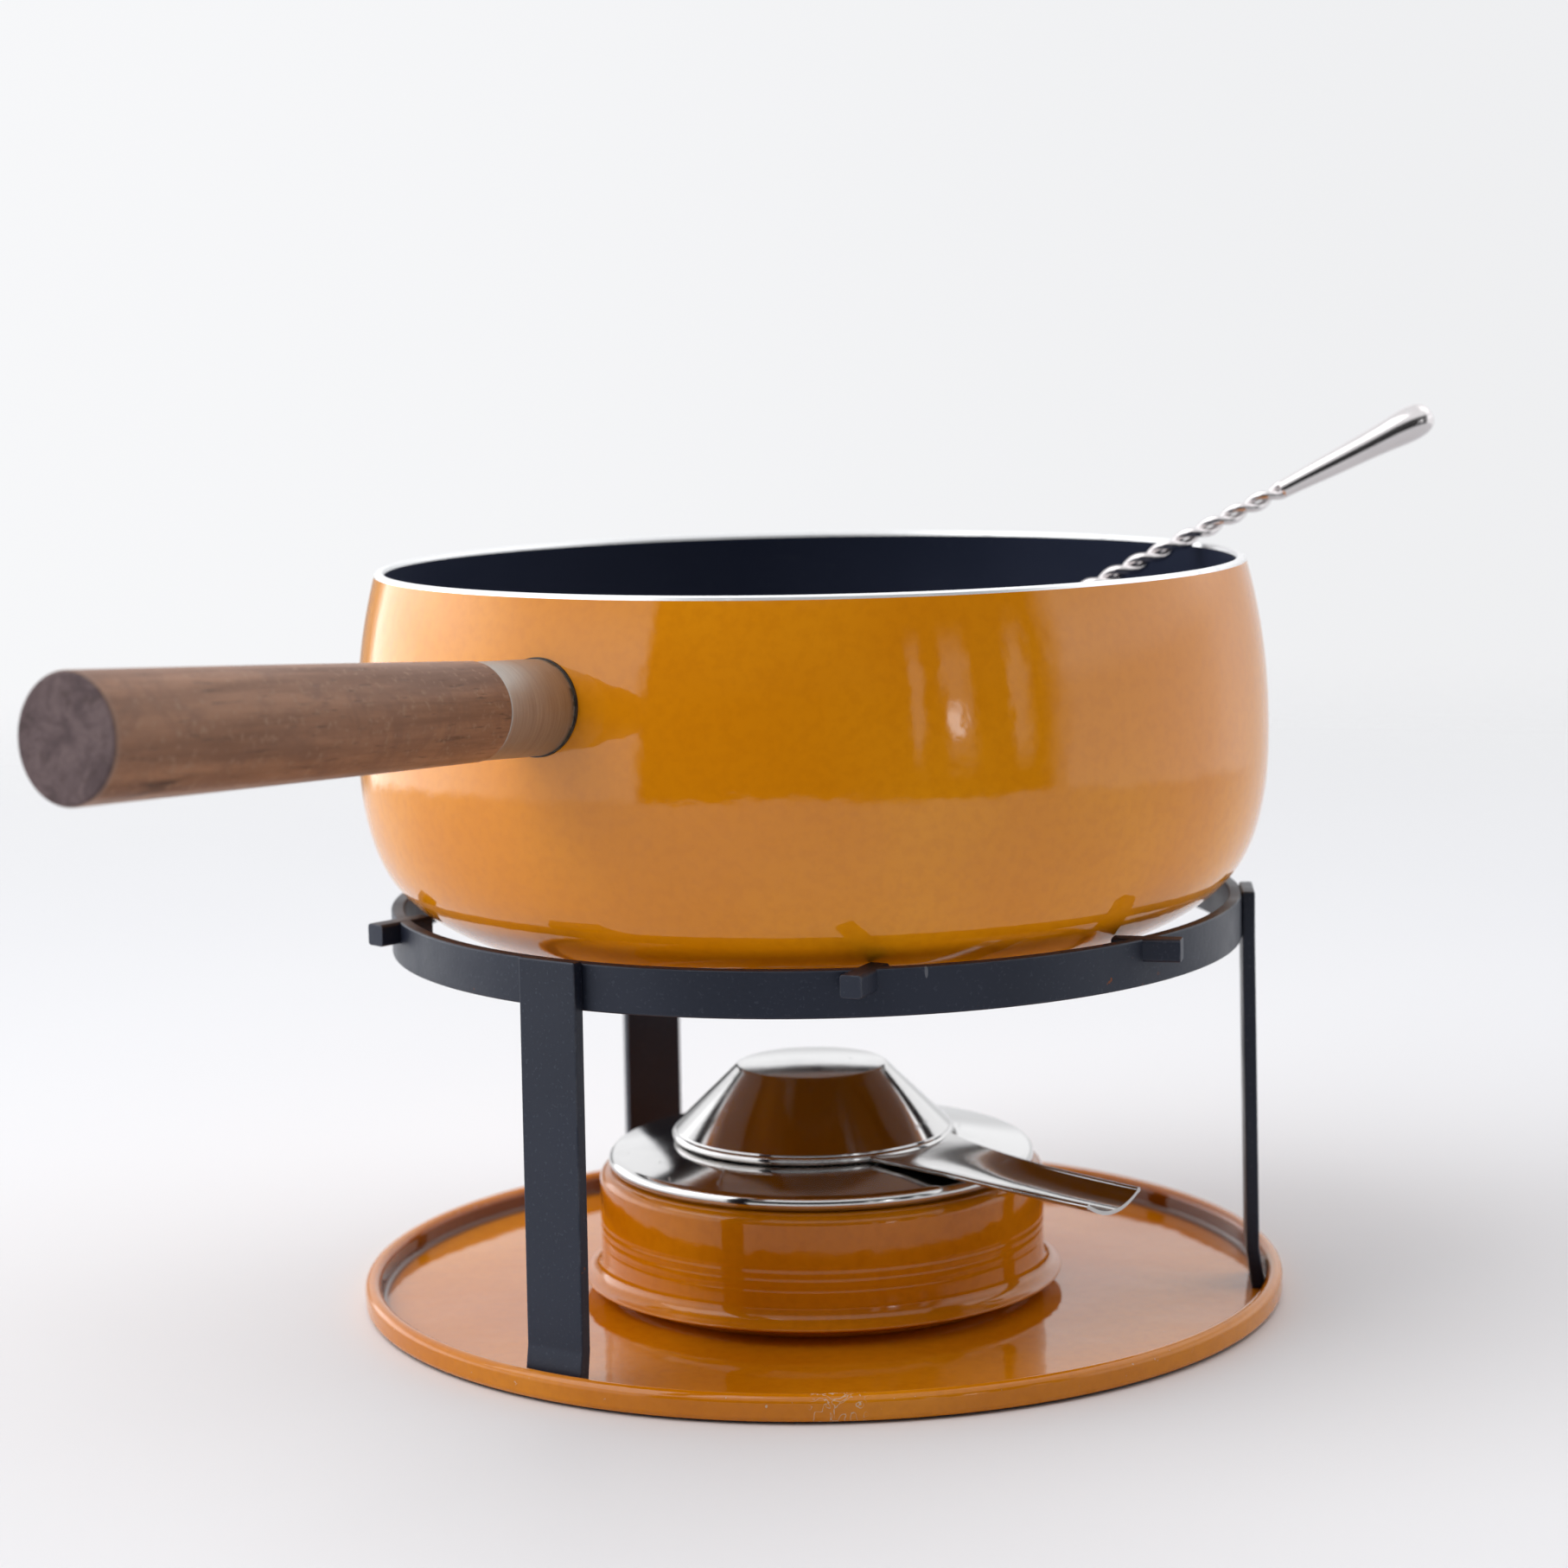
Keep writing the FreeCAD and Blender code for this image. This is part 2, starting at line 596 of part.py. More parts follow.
def build():
    pegs = support_pegs()
    parts = {
        "tray_pan": tray_pan(),
        "stand_ring": stand_ring(pegs),
        "pot_support_pegs": pegs,
        "pot_shell": pot_shell(),
        "handle_boss": handle_boss(),
        "handle_stud": handle_stud(),
        "handle_gasket": handle_gasket(),
        "handle_ferrule": handle_ferrule(),
        "handle_grip": handle_grip(),
        "grip_insert": grip_insert(),
        "fork_handle": fork_handle(),
        "fork_strand_a": fork_strand(math.pi / 2),
        "fork_strand_b": fork_strand(-math.pi / 2),
        "burner_holder": burner_holder(),
        "burner_plate": burner_plate(),
        "fuel_cup": fuel_cup(),
        "fuel_wadding": fuel_wadding(),
        "burner_gauze": burner_gauze(),
        "snuffer_cone": snuffer_cone(),
        "snuffer_lever": snuffer_lever(),
    }
    for name, azimuth in LEG_AZIMUTHS.items():
        parts["stand_leg_" + name] = stand_leg(azimuth)
    return parts


os.makedirs("parts", exist_ok=True)
for node, shape in build().items():
    shape.exportStep("parts/" + node + ".step")
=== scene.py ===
import json
import math

import bmesh
import bpy
import numpy as np
from mathutils import Matrix, Vector


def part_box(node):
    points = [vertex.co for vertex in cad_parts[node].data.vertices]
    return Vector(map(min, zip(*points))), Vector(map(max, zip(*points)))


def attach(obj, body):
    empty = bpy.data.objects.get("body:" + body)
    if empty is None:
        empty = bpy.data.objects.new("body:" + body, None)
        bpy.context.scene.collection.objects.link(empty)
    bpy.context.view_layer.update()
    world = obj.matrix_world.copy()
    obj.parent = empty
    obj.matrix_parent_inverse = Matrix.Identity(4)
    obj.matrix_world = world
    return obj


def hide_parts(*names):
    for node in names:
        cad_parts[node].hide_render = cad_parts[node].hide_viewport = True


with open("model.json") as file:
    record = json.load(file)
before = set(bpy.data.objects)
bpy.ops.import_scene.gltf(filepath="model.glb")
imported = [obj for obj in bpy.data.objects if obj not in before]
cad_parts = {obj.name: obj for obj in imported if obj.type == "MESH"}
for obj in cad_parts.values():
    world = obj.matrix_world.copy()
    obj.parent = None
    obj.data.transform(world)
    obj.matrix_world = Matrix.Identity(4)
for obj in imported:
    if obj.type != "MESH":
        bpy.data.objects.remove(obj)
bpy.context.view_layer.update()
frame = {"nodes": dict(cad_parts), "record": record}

# Lengths in this script are millimetres, as in part.py; MM turns them into Blender's metres.
# An outline is a list of (radius, height) or (x, y) points. Azimuths grow from -Y towards +X.
MM = 0.001
SHARP = math.radians(32)         # edges turned by more than this are shaded sharp
ON_AXIS = 1e-4                   # an outline point nearer the axis than this is a single vertex


# ---------------------------------------------------------------- places taken from the frame

def low(node, axis=2):
    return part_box(node)[0][axis] / MM


def high(node, axis=2):
    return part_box(node)[1][axis] / MM


def middle(node):
    return (Vector(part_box(node)[0]) + Vector(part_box(node)[1])) / 2 / MM


def reach(node):
    """Largest radius of a round node."""
    return (high(node, 0) - low(node, 0)) / 2


def outward(azimuth):
    turn = math.radians(azimuth)
    return Vector((math.sin(turn), -math.cos(turn), 0))


def joint_axis(name):
    joint = next(j for j in frame["record"]["behaviour"]["joints"] if j["name"] == name)
    return Vector(joint["axis"]).normalized()


# ---------------------------------------------------------------- outlines

def arc(centre, radius, start, end, steps=10):
    """Points on a circle, from one angle to another in degrees."""
    angles = [math.radians(start + (end - start) * i / steps) for i in range(steps + 1)]
    return [(centre[0] + radius * math.cos(a), centre[1] + radius * math.sin(a)) for a in angles]


def rounded(corners, closed=True, steps=5):
    """Turn (x, y, corner radius) into a smooth outline."""
    count = len(corners)
    points = []
    for i, (x, y, radius) in enumerate(corners):
        if radius == 0 or (not closed and i in (0, count - 1)):
            points.append((x, y))
            continue
        here = Vector((x, y))
        back = (Vector(corners[i - 1][:2]) - here).normalized()
        ahead = (Vector(corners[(i + 1) % count][:2]) - here).normalized()
        half = back.angle(ahead) / 2
        setback = radius / math.tan(half)
        centre = here + (back + ahead).normalized() * (radius / math.sin(half))
        first = here + back * setback - centre
        last = here + ahead * setback - centre
        for step in range(steps + 1):
            spoke = first.lerp(last, step / steps).normalized() * radius
            points.append(tuple(centre + spoke))
    return points


def spline(points, start, end, steps=60):
    """A smooth curve through points that leaves and arrives in the directions given."""
    places = np.array(points, dtype=float)
    spans = np.linalg.norm(np.diff(places, axis=0), axis=1)
    count = len(places)
    system = np.zeros((count, count))
    wanted = np.zeros_like(places)
    system[0, 0] = system[-1, -1] = 1
    wanted[0] = np.array(start, dtype=float) / np.linalg.norm(start)
    wanted[-1] = np.array(end, dtype=float) / np.linalg.norm(end)
    for i in range(1, count - 1):
        before, after = spans[i - 1], spans[i]
        system[i, i - 1:i + 2] = (after, 2 * (before + after), before)
        rise_before = (places[i] - places[i - 1]) / before
        rise_after = (places[i + 1] - places[i]) / after
        wanted[i] = 3 * (after * rise_before + before * rise_after)
    slopes = np.linalg.solve(system, wanted)
    knots = np.concatenate([[0], np.cumsum(spans)])
    curve = []
    for value in np.linspace(0, knots[-1], steps + 1):
        i = min(int(np.searchsorted(knots, value, side="right")) - 1, count - 2)
        t = (value - knots[i]) / spans[i]
        curve.append((2 * t**3 - 3 * t**2 + 1) * places[i] + (t**3 - 2 * t**2 + t) * spans[i] * slopes[i]
                     + (3 * t**2 - 2 * t**3) * places[i + 1] + (t**3 - t**2) * spans[i] * slopes[i + 1])
    return [tuple(place) for place in curve]


def offset(curve, distance):
    """Move a curve of (radius, height) points to its left-hand side."""
    places = np.array(curve)
    tangents = np.gradient(places, axis=0)
    tangents /= np.linalg.norm(tangents, axis=1)[:, None]
    return [tuple(p) for p in places + np.stack([-tangents[:, 1], tangents[:, 0]], axis=1) * distance]


# ---------------------------------------------------------------- pieces

def piece(name, mesh, looks, body, nodes, place=None):
    """Put a mesh in the scene as a piece that stands for CAD nodes and rides on their body."""
    mesh.update()
    obj = bpy.data.objects.new(name, mesh)
    bpy.context.scene.collection.objects.link(obj)
    for look in looks:
        mesh.materials.append(look)
    mesh.set_sharp_from_angle(angle=SHARP)
    if place is not None:
        obj.matrix_world = place
    weighted = obj.modifiers.new("Normals", "WEIGHTED_NORMAL")
    weighted.keep_sharp = True
    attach(obj, body)
    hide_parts(*nodes)
    return obj


def smooth_mesh(name, bm):
    bmesh.ops.recalc_face_normals(bm, faces=bm.faces)
    mesh = bpy.data.meshes.new(name)
    for face in bm.faces:
        face.smooth = True
    bm.to_mesh(mesh)
    bm.free()
    return mesh


def lathe(name, outline, turns=256, zones=None):
    """Revolve a closed outline around Z. zones gives each outline span its material number."""
    bm = bmesh.new()
    rings = []
    for radius, height in outline:
        if radius < ON_AXIS:
            rings.append([bm.verts.new((0, 0, height * MM))])
            continue
        ring = []
        for turn in range(turns):
            angle = 2 * math.pi * turn / turns
            x, y = radius * MM * math.cos(angle), radius * MM * math.sin(angle)
            ring.append(bm.verts.new((x, y, height * MM)))
        rings.append(ring)
    spans = list(zip(range(len(rings)), range(1, len(rings))))
    spans.append((len(rings) - 1, 0))
    for number, (a, b) in enumerate(spans):
        one, two = rings[a], rings[b]
        if len(one) == 1 and len(two) == 1:
            continue
        for turn in range(turns):
            after = (turn + 1) % turns
            corners = [one[turn % len(one)], one[after % len(one)]]
            corners += [two[after % len(two)], two[turn % len(two)]]
            face = bm.faces.new(list(dict.fromkeys(corners)))
            if zones:
                face.material_index = zones[number]
    return smooth_mesh(name, bm)


def prism(name, outline, thickness, bevel=0.4):
    """Extrude an (x, z) outline along Y, centred, with bevelled rims."""
    bm = bmesh.new()
    half = thickness / 2
    eased = bevel * 0.3
    rings = []
    for y, inset in ((-half, bevel), (-half + eased, eased), (-half + bevel, 0),
                     (half - bevel, 0), (half - eased, eased), (half, bevel)):
        ring = shrink(outline, inset) if inset else outline
        rings.append([bm.verts.new((x * MM, y * MM, z * MM)) for x, z in ring])
    count = len(outline)
    for one, two in zip(rings, rings[1:]):
        for i in range(count):
            bm.faces.new((one[i], one[(i + 1) % count], two[(i + 1) % count], two[i]))
    bm.faces.new(rings[0])
    bm.faces.new(rings[-1][::-1])
    return smooth_mesh(name, bm)


def shrink(outline, inset):
    """Move a closed outline inwards."""
    places = np.array(outline)
    ahead = np.roll(places, -1, axis=0) - places
    back = places - np.roll(places, 1, axis=0)
    ahead /= np.linalg.norm(ahead, axis=1)[:, None]
    back /= np.linalg.norm(back, axis=1)[:, None]
    area = np.sum(places[:, 0] * np.roll(places[:, 1], -1) - np.roll(places[:, 0], -1) * places[:, 1])
    side = 1 if area > 0 else -1
    normals = np.stack([-(ahead + back)[:, 1], (ahead + back)[:, 0]], axis=1)
    lengths = np.linalg.norm(normals, axis=1)
    normals /= lengths[:, None]
    return [tuple(p) for p in places + side * normals * (inset * 2 / lengths)[:, None]]


def tube_along(bm, path, radii, sides=14):
    """A round rod along a path of points, closed at both ends."""
    points = [Vector(p) for p in path]
    rings = []
    side = Vector((1, 0, 0))
    for i, here in enumerate(points):
        ahead = points[min(i + 1, len(points) - 1)]
        back = points[max(i - 1, 0)]
        along = (ahead - back).normalized()
        side = (side - along * side.dot(along)).normalized()
        up = along.cross(side)
        ring = []
        for k in range(sides):
            angle = 2 * math.pi * k / sides
            spot = here + (side * math.cos(angle) + up * math.sin(angle)) * radii[i]
            ring.append(bm.verts.new(spot * MM))
        rings.append(ring)
    for one, two in zip(rings, rings[1:]):
        for k in range(sides):
            bm.faces.new((one[k], one[(k + 1) % sides], two[(k + 1) % sides], two[k]))
    bm.faces.new(rings[0][::-1])
    bm.faces.new(rings[-1])


def frame_along(start, direction):
    """A placement whose Z axis runs along direction from start."""
    turn = Vector((0, 0, 1)).rotation_difference(direction).to_matrix().to_4x4()
    return Matrix.Translation(Vector(start) * MM) @ turn


def turned_to(azimuth):
    """A turn that points the X axis along an azimuth."""
    return Matrix.Rotation(math.radians(azimuth - 90), 4, "Z")


# ---------------------------------------------------------------- materials

class Look:
    """A material whose node tree is built one step at a time from object coordinates."""

    def __init__(self, name):
        self.material = bpy.data.materials.new(name)
        self.material.use_nodes = True
        self.tree = self.material.node_tree
        self.shader = self.tree.nodes["Principled BSDF"]
        self.place = self.node("ShaderNodeTexCoord").outputs["Object"]

    def node(self, kind, inputs=None, **settings):
        made = self.tree.nodes.new(kind)
        for key, value in settings.items():
            setattr(made, key, value)
        for key, value in (inputs or {}).items():
            self.feed(made.inputs[key], value)
        return made

    def feed(self, socket, value):
        if isinstance(value, bpy.types.NodeSocket):
            self.tree.links.new(value, socket)
        elif isinstance(value, tuple) and len(value) == 3 and socket.type == "RGBA":
            socket.default_value = (*value, 1)
        else:
            socket.default_value = value

    def stretched(self, x, y, z, place=None):
        """Coordinates scaled along each axis, in cycles per metre."""
        return self.node("ShaderNodeVectorMath", {0: place or self.place, 1: (x, y, z)},
                         operation="MULTIPLY").outputs["Vector"]

    def noise(self, scale, detail=3.0, rough=0.55, place=None, distortion=0.0):
        inputs = {"Vector": place or self.place, "Scale": scale, "Detail": detail,
                  "Roughness": rough, "Distortion": distortion}
        return self.node("ShaderNodeTexNoise", inputs).outputs["Fac"]

    def cells(self, scale):
        """Distance to the nearest of many scattered points."""
        inputs = {"Vector": self.place, "Scale": scale}
        return self.node("ShaderNodeTexVoronoi", inputs, feature="F1").outputs["Distance"]

    def ramp(self, value, start, end, low_value=0.0, high_value=1.0):
        """Rises from low_value to high_value as value goes from start to end."""
        inputs = {"Value": value, "From Min": start, "From Max": end,
                  "To Min": low_value, "To Max": high_value}
        made = self.node("ShaderNodeMapRange", inputs, interpolation_type="SMOOTHSTEP")
        return made.outputs["Result"]

    def sum(self, a, b):
        return self.node("ShaderNodeMath", {0: a, 1: b}, operation="ADD").outputs[0]

    def times(self, a, b):
        return self.node("ShaderNodeMath", {0: a, 1: b}, operation="MULTIPLY").outputs[0]

    def apart(self, a, b):
        """How far a is from the number b."""
        return self.node("ShaderNodeMath", {0: self.sum(a, -b)}, operation="ABSOLUTE").outputs[0]

    def most(self, a, b):
        return self.node("ShaderNodeMath", {0: a, 1: b}, operation="MAXIMUM").outputs[0]

    def mix(self, share, a, b):
        made = self.node("ShaderNodeMix", data_type="RGBA")
        self.feed(made.inputs[0], share)
        self.feed(made.inputs[6], a)
        self.feed(made.inputs[7], b)
        return made.outputs[2]

    def blend(self, share, a, b):
        made = self.node("ShaderNodeMix", data_type="FLOAT")
        self.feed(made.inputs[0], share)
        self.feed(made.inputs[2], a)
        self.feed(made.inputs[3], b)
        return made.outputs[0]

    def split(self):
        """The object coordinates one by one."""
        return self.node("ShaderNodeSeparateXYZ", {0: self.place}).outputs

    def length(self, place):
        return self.node("ShaderNodeVectorMath", {0: place}, operation="LENGTH").outputs["Value"]

    def bump(self, height, distance, strength=1.0, under=None):
        """Distance is in millimetres."""
        inputs = {"Height": height, "Distance": distance * MM, "Strength": strength}
        if under is not None:
            inputs["Normal"] = under
        return self.node("ShaderNodeBump", inputs).outputs["Normal"]

    def edges(self, size):
        """1 on edges sharper than about size in millimetres, 0 on flats."""
        soft = self.node("ShaderNodeBevel", {"Radius": size * MM}, samples=4).outputs[0]
        flat = self.node("ShaderNodeNewGeometry").outputs["Normal"]
        match = self.node("ShaderNodeVectorMath", {0: soft, 1: flat}, operation="DOT_PRODUCT")
        return self.ramp(match.outputs["Value"], 0.995, 0.86)

    def finish(self, **inputs):
        for key, value in inputs.items():
            self.feed(self.shader.inputs[key.replace("_", " ")], value)
        return self.material


def spots(look, scale, size, thin):
    """Scattered small round marks: 1 inside a mark. The higher thin is, the fewer cells get one."""
    inside = look.ramp(look.cells(scale), size, size * 0.6)
    kept = look.ramp(look.noise(scale * 0.31, 1.0), thin, thin + 0.02)
    return look.times(inside, kept)


# Enamel colours as (where it lies thick, where it lies thin, in the grain)
# The pot's tones are the enamel painted lighter, as painted light; the base's tones, for tray and holder, are
# the same enamel painted darker, as painted shade.
LIT_POT_ENAMEL = ((0.76, 0.250, 0.0008), (0.88, 0.335, 0.0050), (0.62, 0.180, 0.0004))
SHADED_BASE_ENAMEL = ((0.60, 0.180, 0.0006), (0.71, 0.245, 0.0040), (0.48, 0.130, 0.0003))
# Dark brown for painted shade: under the pot and in the tray's inner corner.
SHADE_BROWN = (0.10, 0.030, 0.0015)
POT_IOR = 1.52
BASE_IOR = 1.42


def enamel_colour(look, tones):
    """Mustard enamel: cloudy where it lies thin, with a fine darker grain."""
    patches = look.ramp(look.noise(9, 3.0), 0.35, 0.68)
    grain = look.ramp(look.noise(430, 2.0), 0.35, 0.75, 0.0, 0.25)
    return look.mix(grain, look.mix(patches, tones[0], tones[1]), tones[2])


def enamel_ripple(look):
    """The glaze's surface: fine orange peel on short ripples on slow waves."""
    peel = look.bump(look.noise(700, 1.5, 0.5), 0.006, 1.0)
    ripples = look.bump(look.noise(240, 1.5, 0.5), 0.030, 1.0, peel)
    waves = look.bump(look.noise(60, 2.0, 0.5), 0.12, 0.8, ripples)
    return look.bump(look.noise(20, 1.0, 0.4), 0.60, 1.0, waves)


def enamel(name, tones, ior, shaded_below=None):
    """Gloss enamel with smears and dust nibs, with painted shade darkening it to brown below a height."""
    look = Look(name)
    colour = enamel_colour(look, tones)
    nibs = spots(look, 210, 0.06, thin=0.68)
    colour = look.mix(look.times(nibs, 0.35), colour, tones[2])
    if shaded_below is not None:
        # Painted shade: the pot's underside and lowest few millimetres turn brown, standing in for the shade
        # under the pot.
        edge = look.sum(look.split()["Z"], look.times(look.noise(45, 3.0), 3 * MM))
        underside_shade = look.ramp(edge, (shaded_below + 5.5) * MM, (shaded_below + 1.5) * MM)
        colour = look.mix(look.times(underside_shade, 0.85), colour, SHADE_BROWN)
    smears = look.ramp(look.noise(22, 4.0, 0.6, look.stretched(1, 1, 0.55)), 0.5, 0.72)
    ripple = enamel_ripple(look)
    return look.finish(Base_Color=colour, Roughness=0.45, Specular_IOR_Level=0.0, Normal=ripple,
                       Coat_Weight=1.0, Coat_Roughness=look.blend(smears, 0.035, 0.075), Coat_IOR=ior,
                       Coat_Normal=ripple)


def tray_look():
    """The same enamel in its darker painted-shade tones, with painted shade in the inner corner by the rim, a
    small scratched chip on the front of the rim and scuffs on the floor.
    """
    look = Look("tray_enamel_look")
    x, y, z = look.split()
    colour = enamel_colour(look, SHADED_BASE_ENAMEL)
    # Painted shade: the inner corner at the foot of the rim is darkened toward brown.
    distance = look.length(look.stretched(1, 1, 0))
    corner = look.times(look.ramp(distance, 101.8 * MM, 103.6 * MM),
                        look.ramp(distance, 105.3 * MM, 104.9 * MM))
    corner = look.times(corner, look.ramp(z, 5.7 * MM, 4.2 * MM))
    colour = look.mix(look.times(corner, 0.80), colour, SHADE_BROWN)
    scribble = look.ramp(look.apart(look.noise(330, 1.5, 0.5, distortion=1.0), 0.5), 0.022, 0.008)
    at_front = look.times(look.ramp(look.apart(x, 2.5 * MM), 6.5 * MM, 4.5 * MM),
                          look.ramp(y, -104 * MM, -105 * MM))
    nicks = look.times(look.ramp(look.noise(520, 3.0, 0.7), 0.70, 0.72),
                       look.ramp(z, 2.5 * MM, 3.5 * MM))
    bare = look.most(look.times(scribble, at_front), nicks)
    colour = look.mix(look.times(bare, 0.8), colour, (0.66, 0.50, 0.36))
    dust = spots(look, 240, 0.06, thin=0.66)
    colour = look.mix(look.times(dust, 0.5), colour, (0.75, 0.50, 0.30))
    scuffs = look.ramp(look.noise(30, 5.0, 0.65), 0.45, 0.75)
    ripple = enamel_ripple(look)
    dented = look.bump(look.times(bare, -0.25), 0.25, 0.35, ripple)
    return look.finish(Base_Color=colour, Roughness=0.45, Specular_IOR_Level=0.0, Normal=dented,
                       Coat_Normal=ripple, Coat_IOR=BASE_IOR, Coat_Weight=look.blend(bare, 1.0, 0.2),
                       Coat_Roughness=look.blend(scuffs, 0.05, 0.10))


def bare_rim():
    """Machined aluminium where the pot's rim is left uncoated."""
    look = Look("bare_rim_look")
    turning = look.noise(1.0, 3.0, 0.6, look.stretched(60, 60, 4200))
    colour = look.mix(turning, (0.74, 0.75, 0.76), (0.90, 0.90, 0.89))
    nick = look.ramp(look.noise(160, 3.0), 0.60, 0.72)
    colour = look.mix(look.times(nick, 0.25), colour, (0.55, 0.55, 0.57))
    normal = look.bump(turning, 0.02, 0.6)
    return look.finish(Base_Color=colour, Metallic=0.85, Roughness=look.blend(nick, 0.34, 0.5),
                       Normal=normal)


def non_stick():
    """Blue-black non-stick coating with a fine sprayed texture and faint scraped arcs."""
    look = Look("non_stick_look")
    speckle = look.noise(900, 2.0, 0.6)
    colour = look.mix(look.ramp(look.noise(14, 3.0), 0.35, 0.7), (0.024, 0.031, 0.060), (0.034, 0.041, 0.074))
    colour = look.mix(look.ramp(speckle, 0.6, 0.8, 0.0, 0.35), colour, (0.065, 0.075, 0.10))
    scrape = look.noise(1.0, 4.0, 0.6, look.stretched(35, 35, 700))
    scraped = look.times(look.ramp(scrape, 0.60, 0.72), look.ramp(look.noise(18, 2.0), 0.5, 0.65))
    colour = look.mix(look.times(scraped, 0.25), colour, (0.10, 0.10, 0.11))
    normal = look.bump(speckle, 0.03, 0.8)
    return look.finish(Base_Color=colour, Roughness=look.blend(scraped, 0.42, 0.32), Normal=normal,
                       Specular_IOR_Level=0.4)


def black_paint():
    """Blue-black satin paint: fine speckle, greyer worn edges, scuffs and a little rust."""
    look = Look("stand_paint_look")
    clouds = look.ramp(look.noise(16, 3.0), 0.3, 0.7)
    colour = look.mix(clouds, (0.0070, 0.0090, 0.0175), (0.0120, 0.0150, 0.0270))
    speckle = look.ramp(look.noise(1300, 1.0, 0.5), 0.62, 0.74)
    colour = look.mix(look.times(speckle, 0.18), colour, (0.08, 0.09, 0.12))
    edge = look.edges(0.7)
    rub = look.times(edge, look.ramp(look.noise(90, 4.0, 0.7), 0.40, 0.66))
    colour = look.mix(look.times(rub, 0.55), colour, (0.13, 0.135, 0.15))
    scratch = look.ramp(look.noise(1.0, 3.0, 0.7, look.stretched(160, 160, 40)), 0.675, 0.70)
    scratch = look.times(scratch, look.ramp(look.noise(33, 1.0), 0.56, 0.64))
    colour = look.mix(look.times(scratch, 0.5), colour, (0.22, 0.225, 0.24))
    rust = look.times(look.ramp(look.noise(310, 3.0, 0.7), 0.66, 0.70),
                      look.ramp(look.noise(24, 1.0), 0.62, 0.68))
    colour = look.mix(rust, colour, (0.19, 0.060, 0.022))
    roughness = look.blend(look.ramp(look.noise(60, 4.0), 0.35, 0.7), 0.36, 0.50)
    roughness = look.blend(rust, roughness, 0.85)
    pebble = look.bump(look.noise(800, 2.0, 0.5), 0.05, 0.7)
    drips = look.bump(look.noise(70, 2.0, 0.5), 0.15, 0.4, pebble)
    return look.finish(Base_Color=colour, Roughness=roughness, Normal=drips, Specular_IOR_Level=0.42,
                       Specular_Tint=(0.80, 0.86, 1.0))


def polished_steel(name, tint=(0.61, 0.60, 0.59), rough=0.09, around=True):
    """Polished stainless steel with fine spun lines, soft smudges and hairline scratches."""
    look = Look(name)
    scale = look.stretched(30, 30, 5200) if around else look.stretched(900, 900, 40)
    lines = look.noise(1.0, 3.0, 0.6, scale)
    smudge = look.ramp(look.noise(34, 4.0, 0.6), 0.42, 0.72)
    colour = look.mix(look.times(smudge, 0.5), tint, tuple(c * 0.86 for c in tint))
    hair = look.ramp(look.noise(1.0, 2.0, 0.6, look.stretched(420, 90, 420)), 0.665, 0.69)
    colour = look.mix(look.times(hair, 0.25), colour, (0.5, 0.5, 0.5))
    roughness = look.sum(look.blend(smudge, rough, rough + 0.09), look.times(hair, 0.1))
    normal = look.bump(lines, 0.006, 0.5)
    warp = look.bump(look.noise(45, 2.0, 0.4), 0.12, 0.45, normal)
    return look.finish(Base_Color=colour, Metallic=1.0, Roughness=roughness, Normal=warp)


def ferrule_steel():
    """Steel tube brushed around its axis, with brown residue by the pot."""
    look = Look("ferrule_look")
    z = look.split()["Z"]
    lines = look.noise(1.0, 4.0, 0.7, look.stretched(90, 90, 9000))
    bands = look.noise(1.0, 2.0, 0.5, look.stretched(20, 20, 330))
    colour = look.mix(look.ramp(lines, 0.3, 0.7), (0.29, 0.275, 0.255), (0.45, 0.43, 0.40))
    colour = look.mix(look.ramp(bands, 0.50, 0.7, 0.0, 0.30), colour, (0.20, 0.18, 0.165))
    residue = look.times(look.ramp(z, 1.6 * MM, 0.3 * MM), look.ramp(look.noise(260, 3.0), 0.42, 0.6))
    colour = look.mix(residue, colour, (0.10, 0.075, 0.045))
    roughness = look.blend(look.ramp(lines, 0.3, 0.7), 0.36, 0.50)
    normal = look.bump(lines, 0.015, 0.9)
    turn = look.node("ShaderNodeTangent", direction_type="RADIAL", axis="Z").outputs[0]
    return look.finish(Base_Color=colour, Metallic=look.blend(residue, 0.85, 0.2), Roughness=roughness,
                       Normal=normal, Anisotropic=0.55, Tangent=turn)


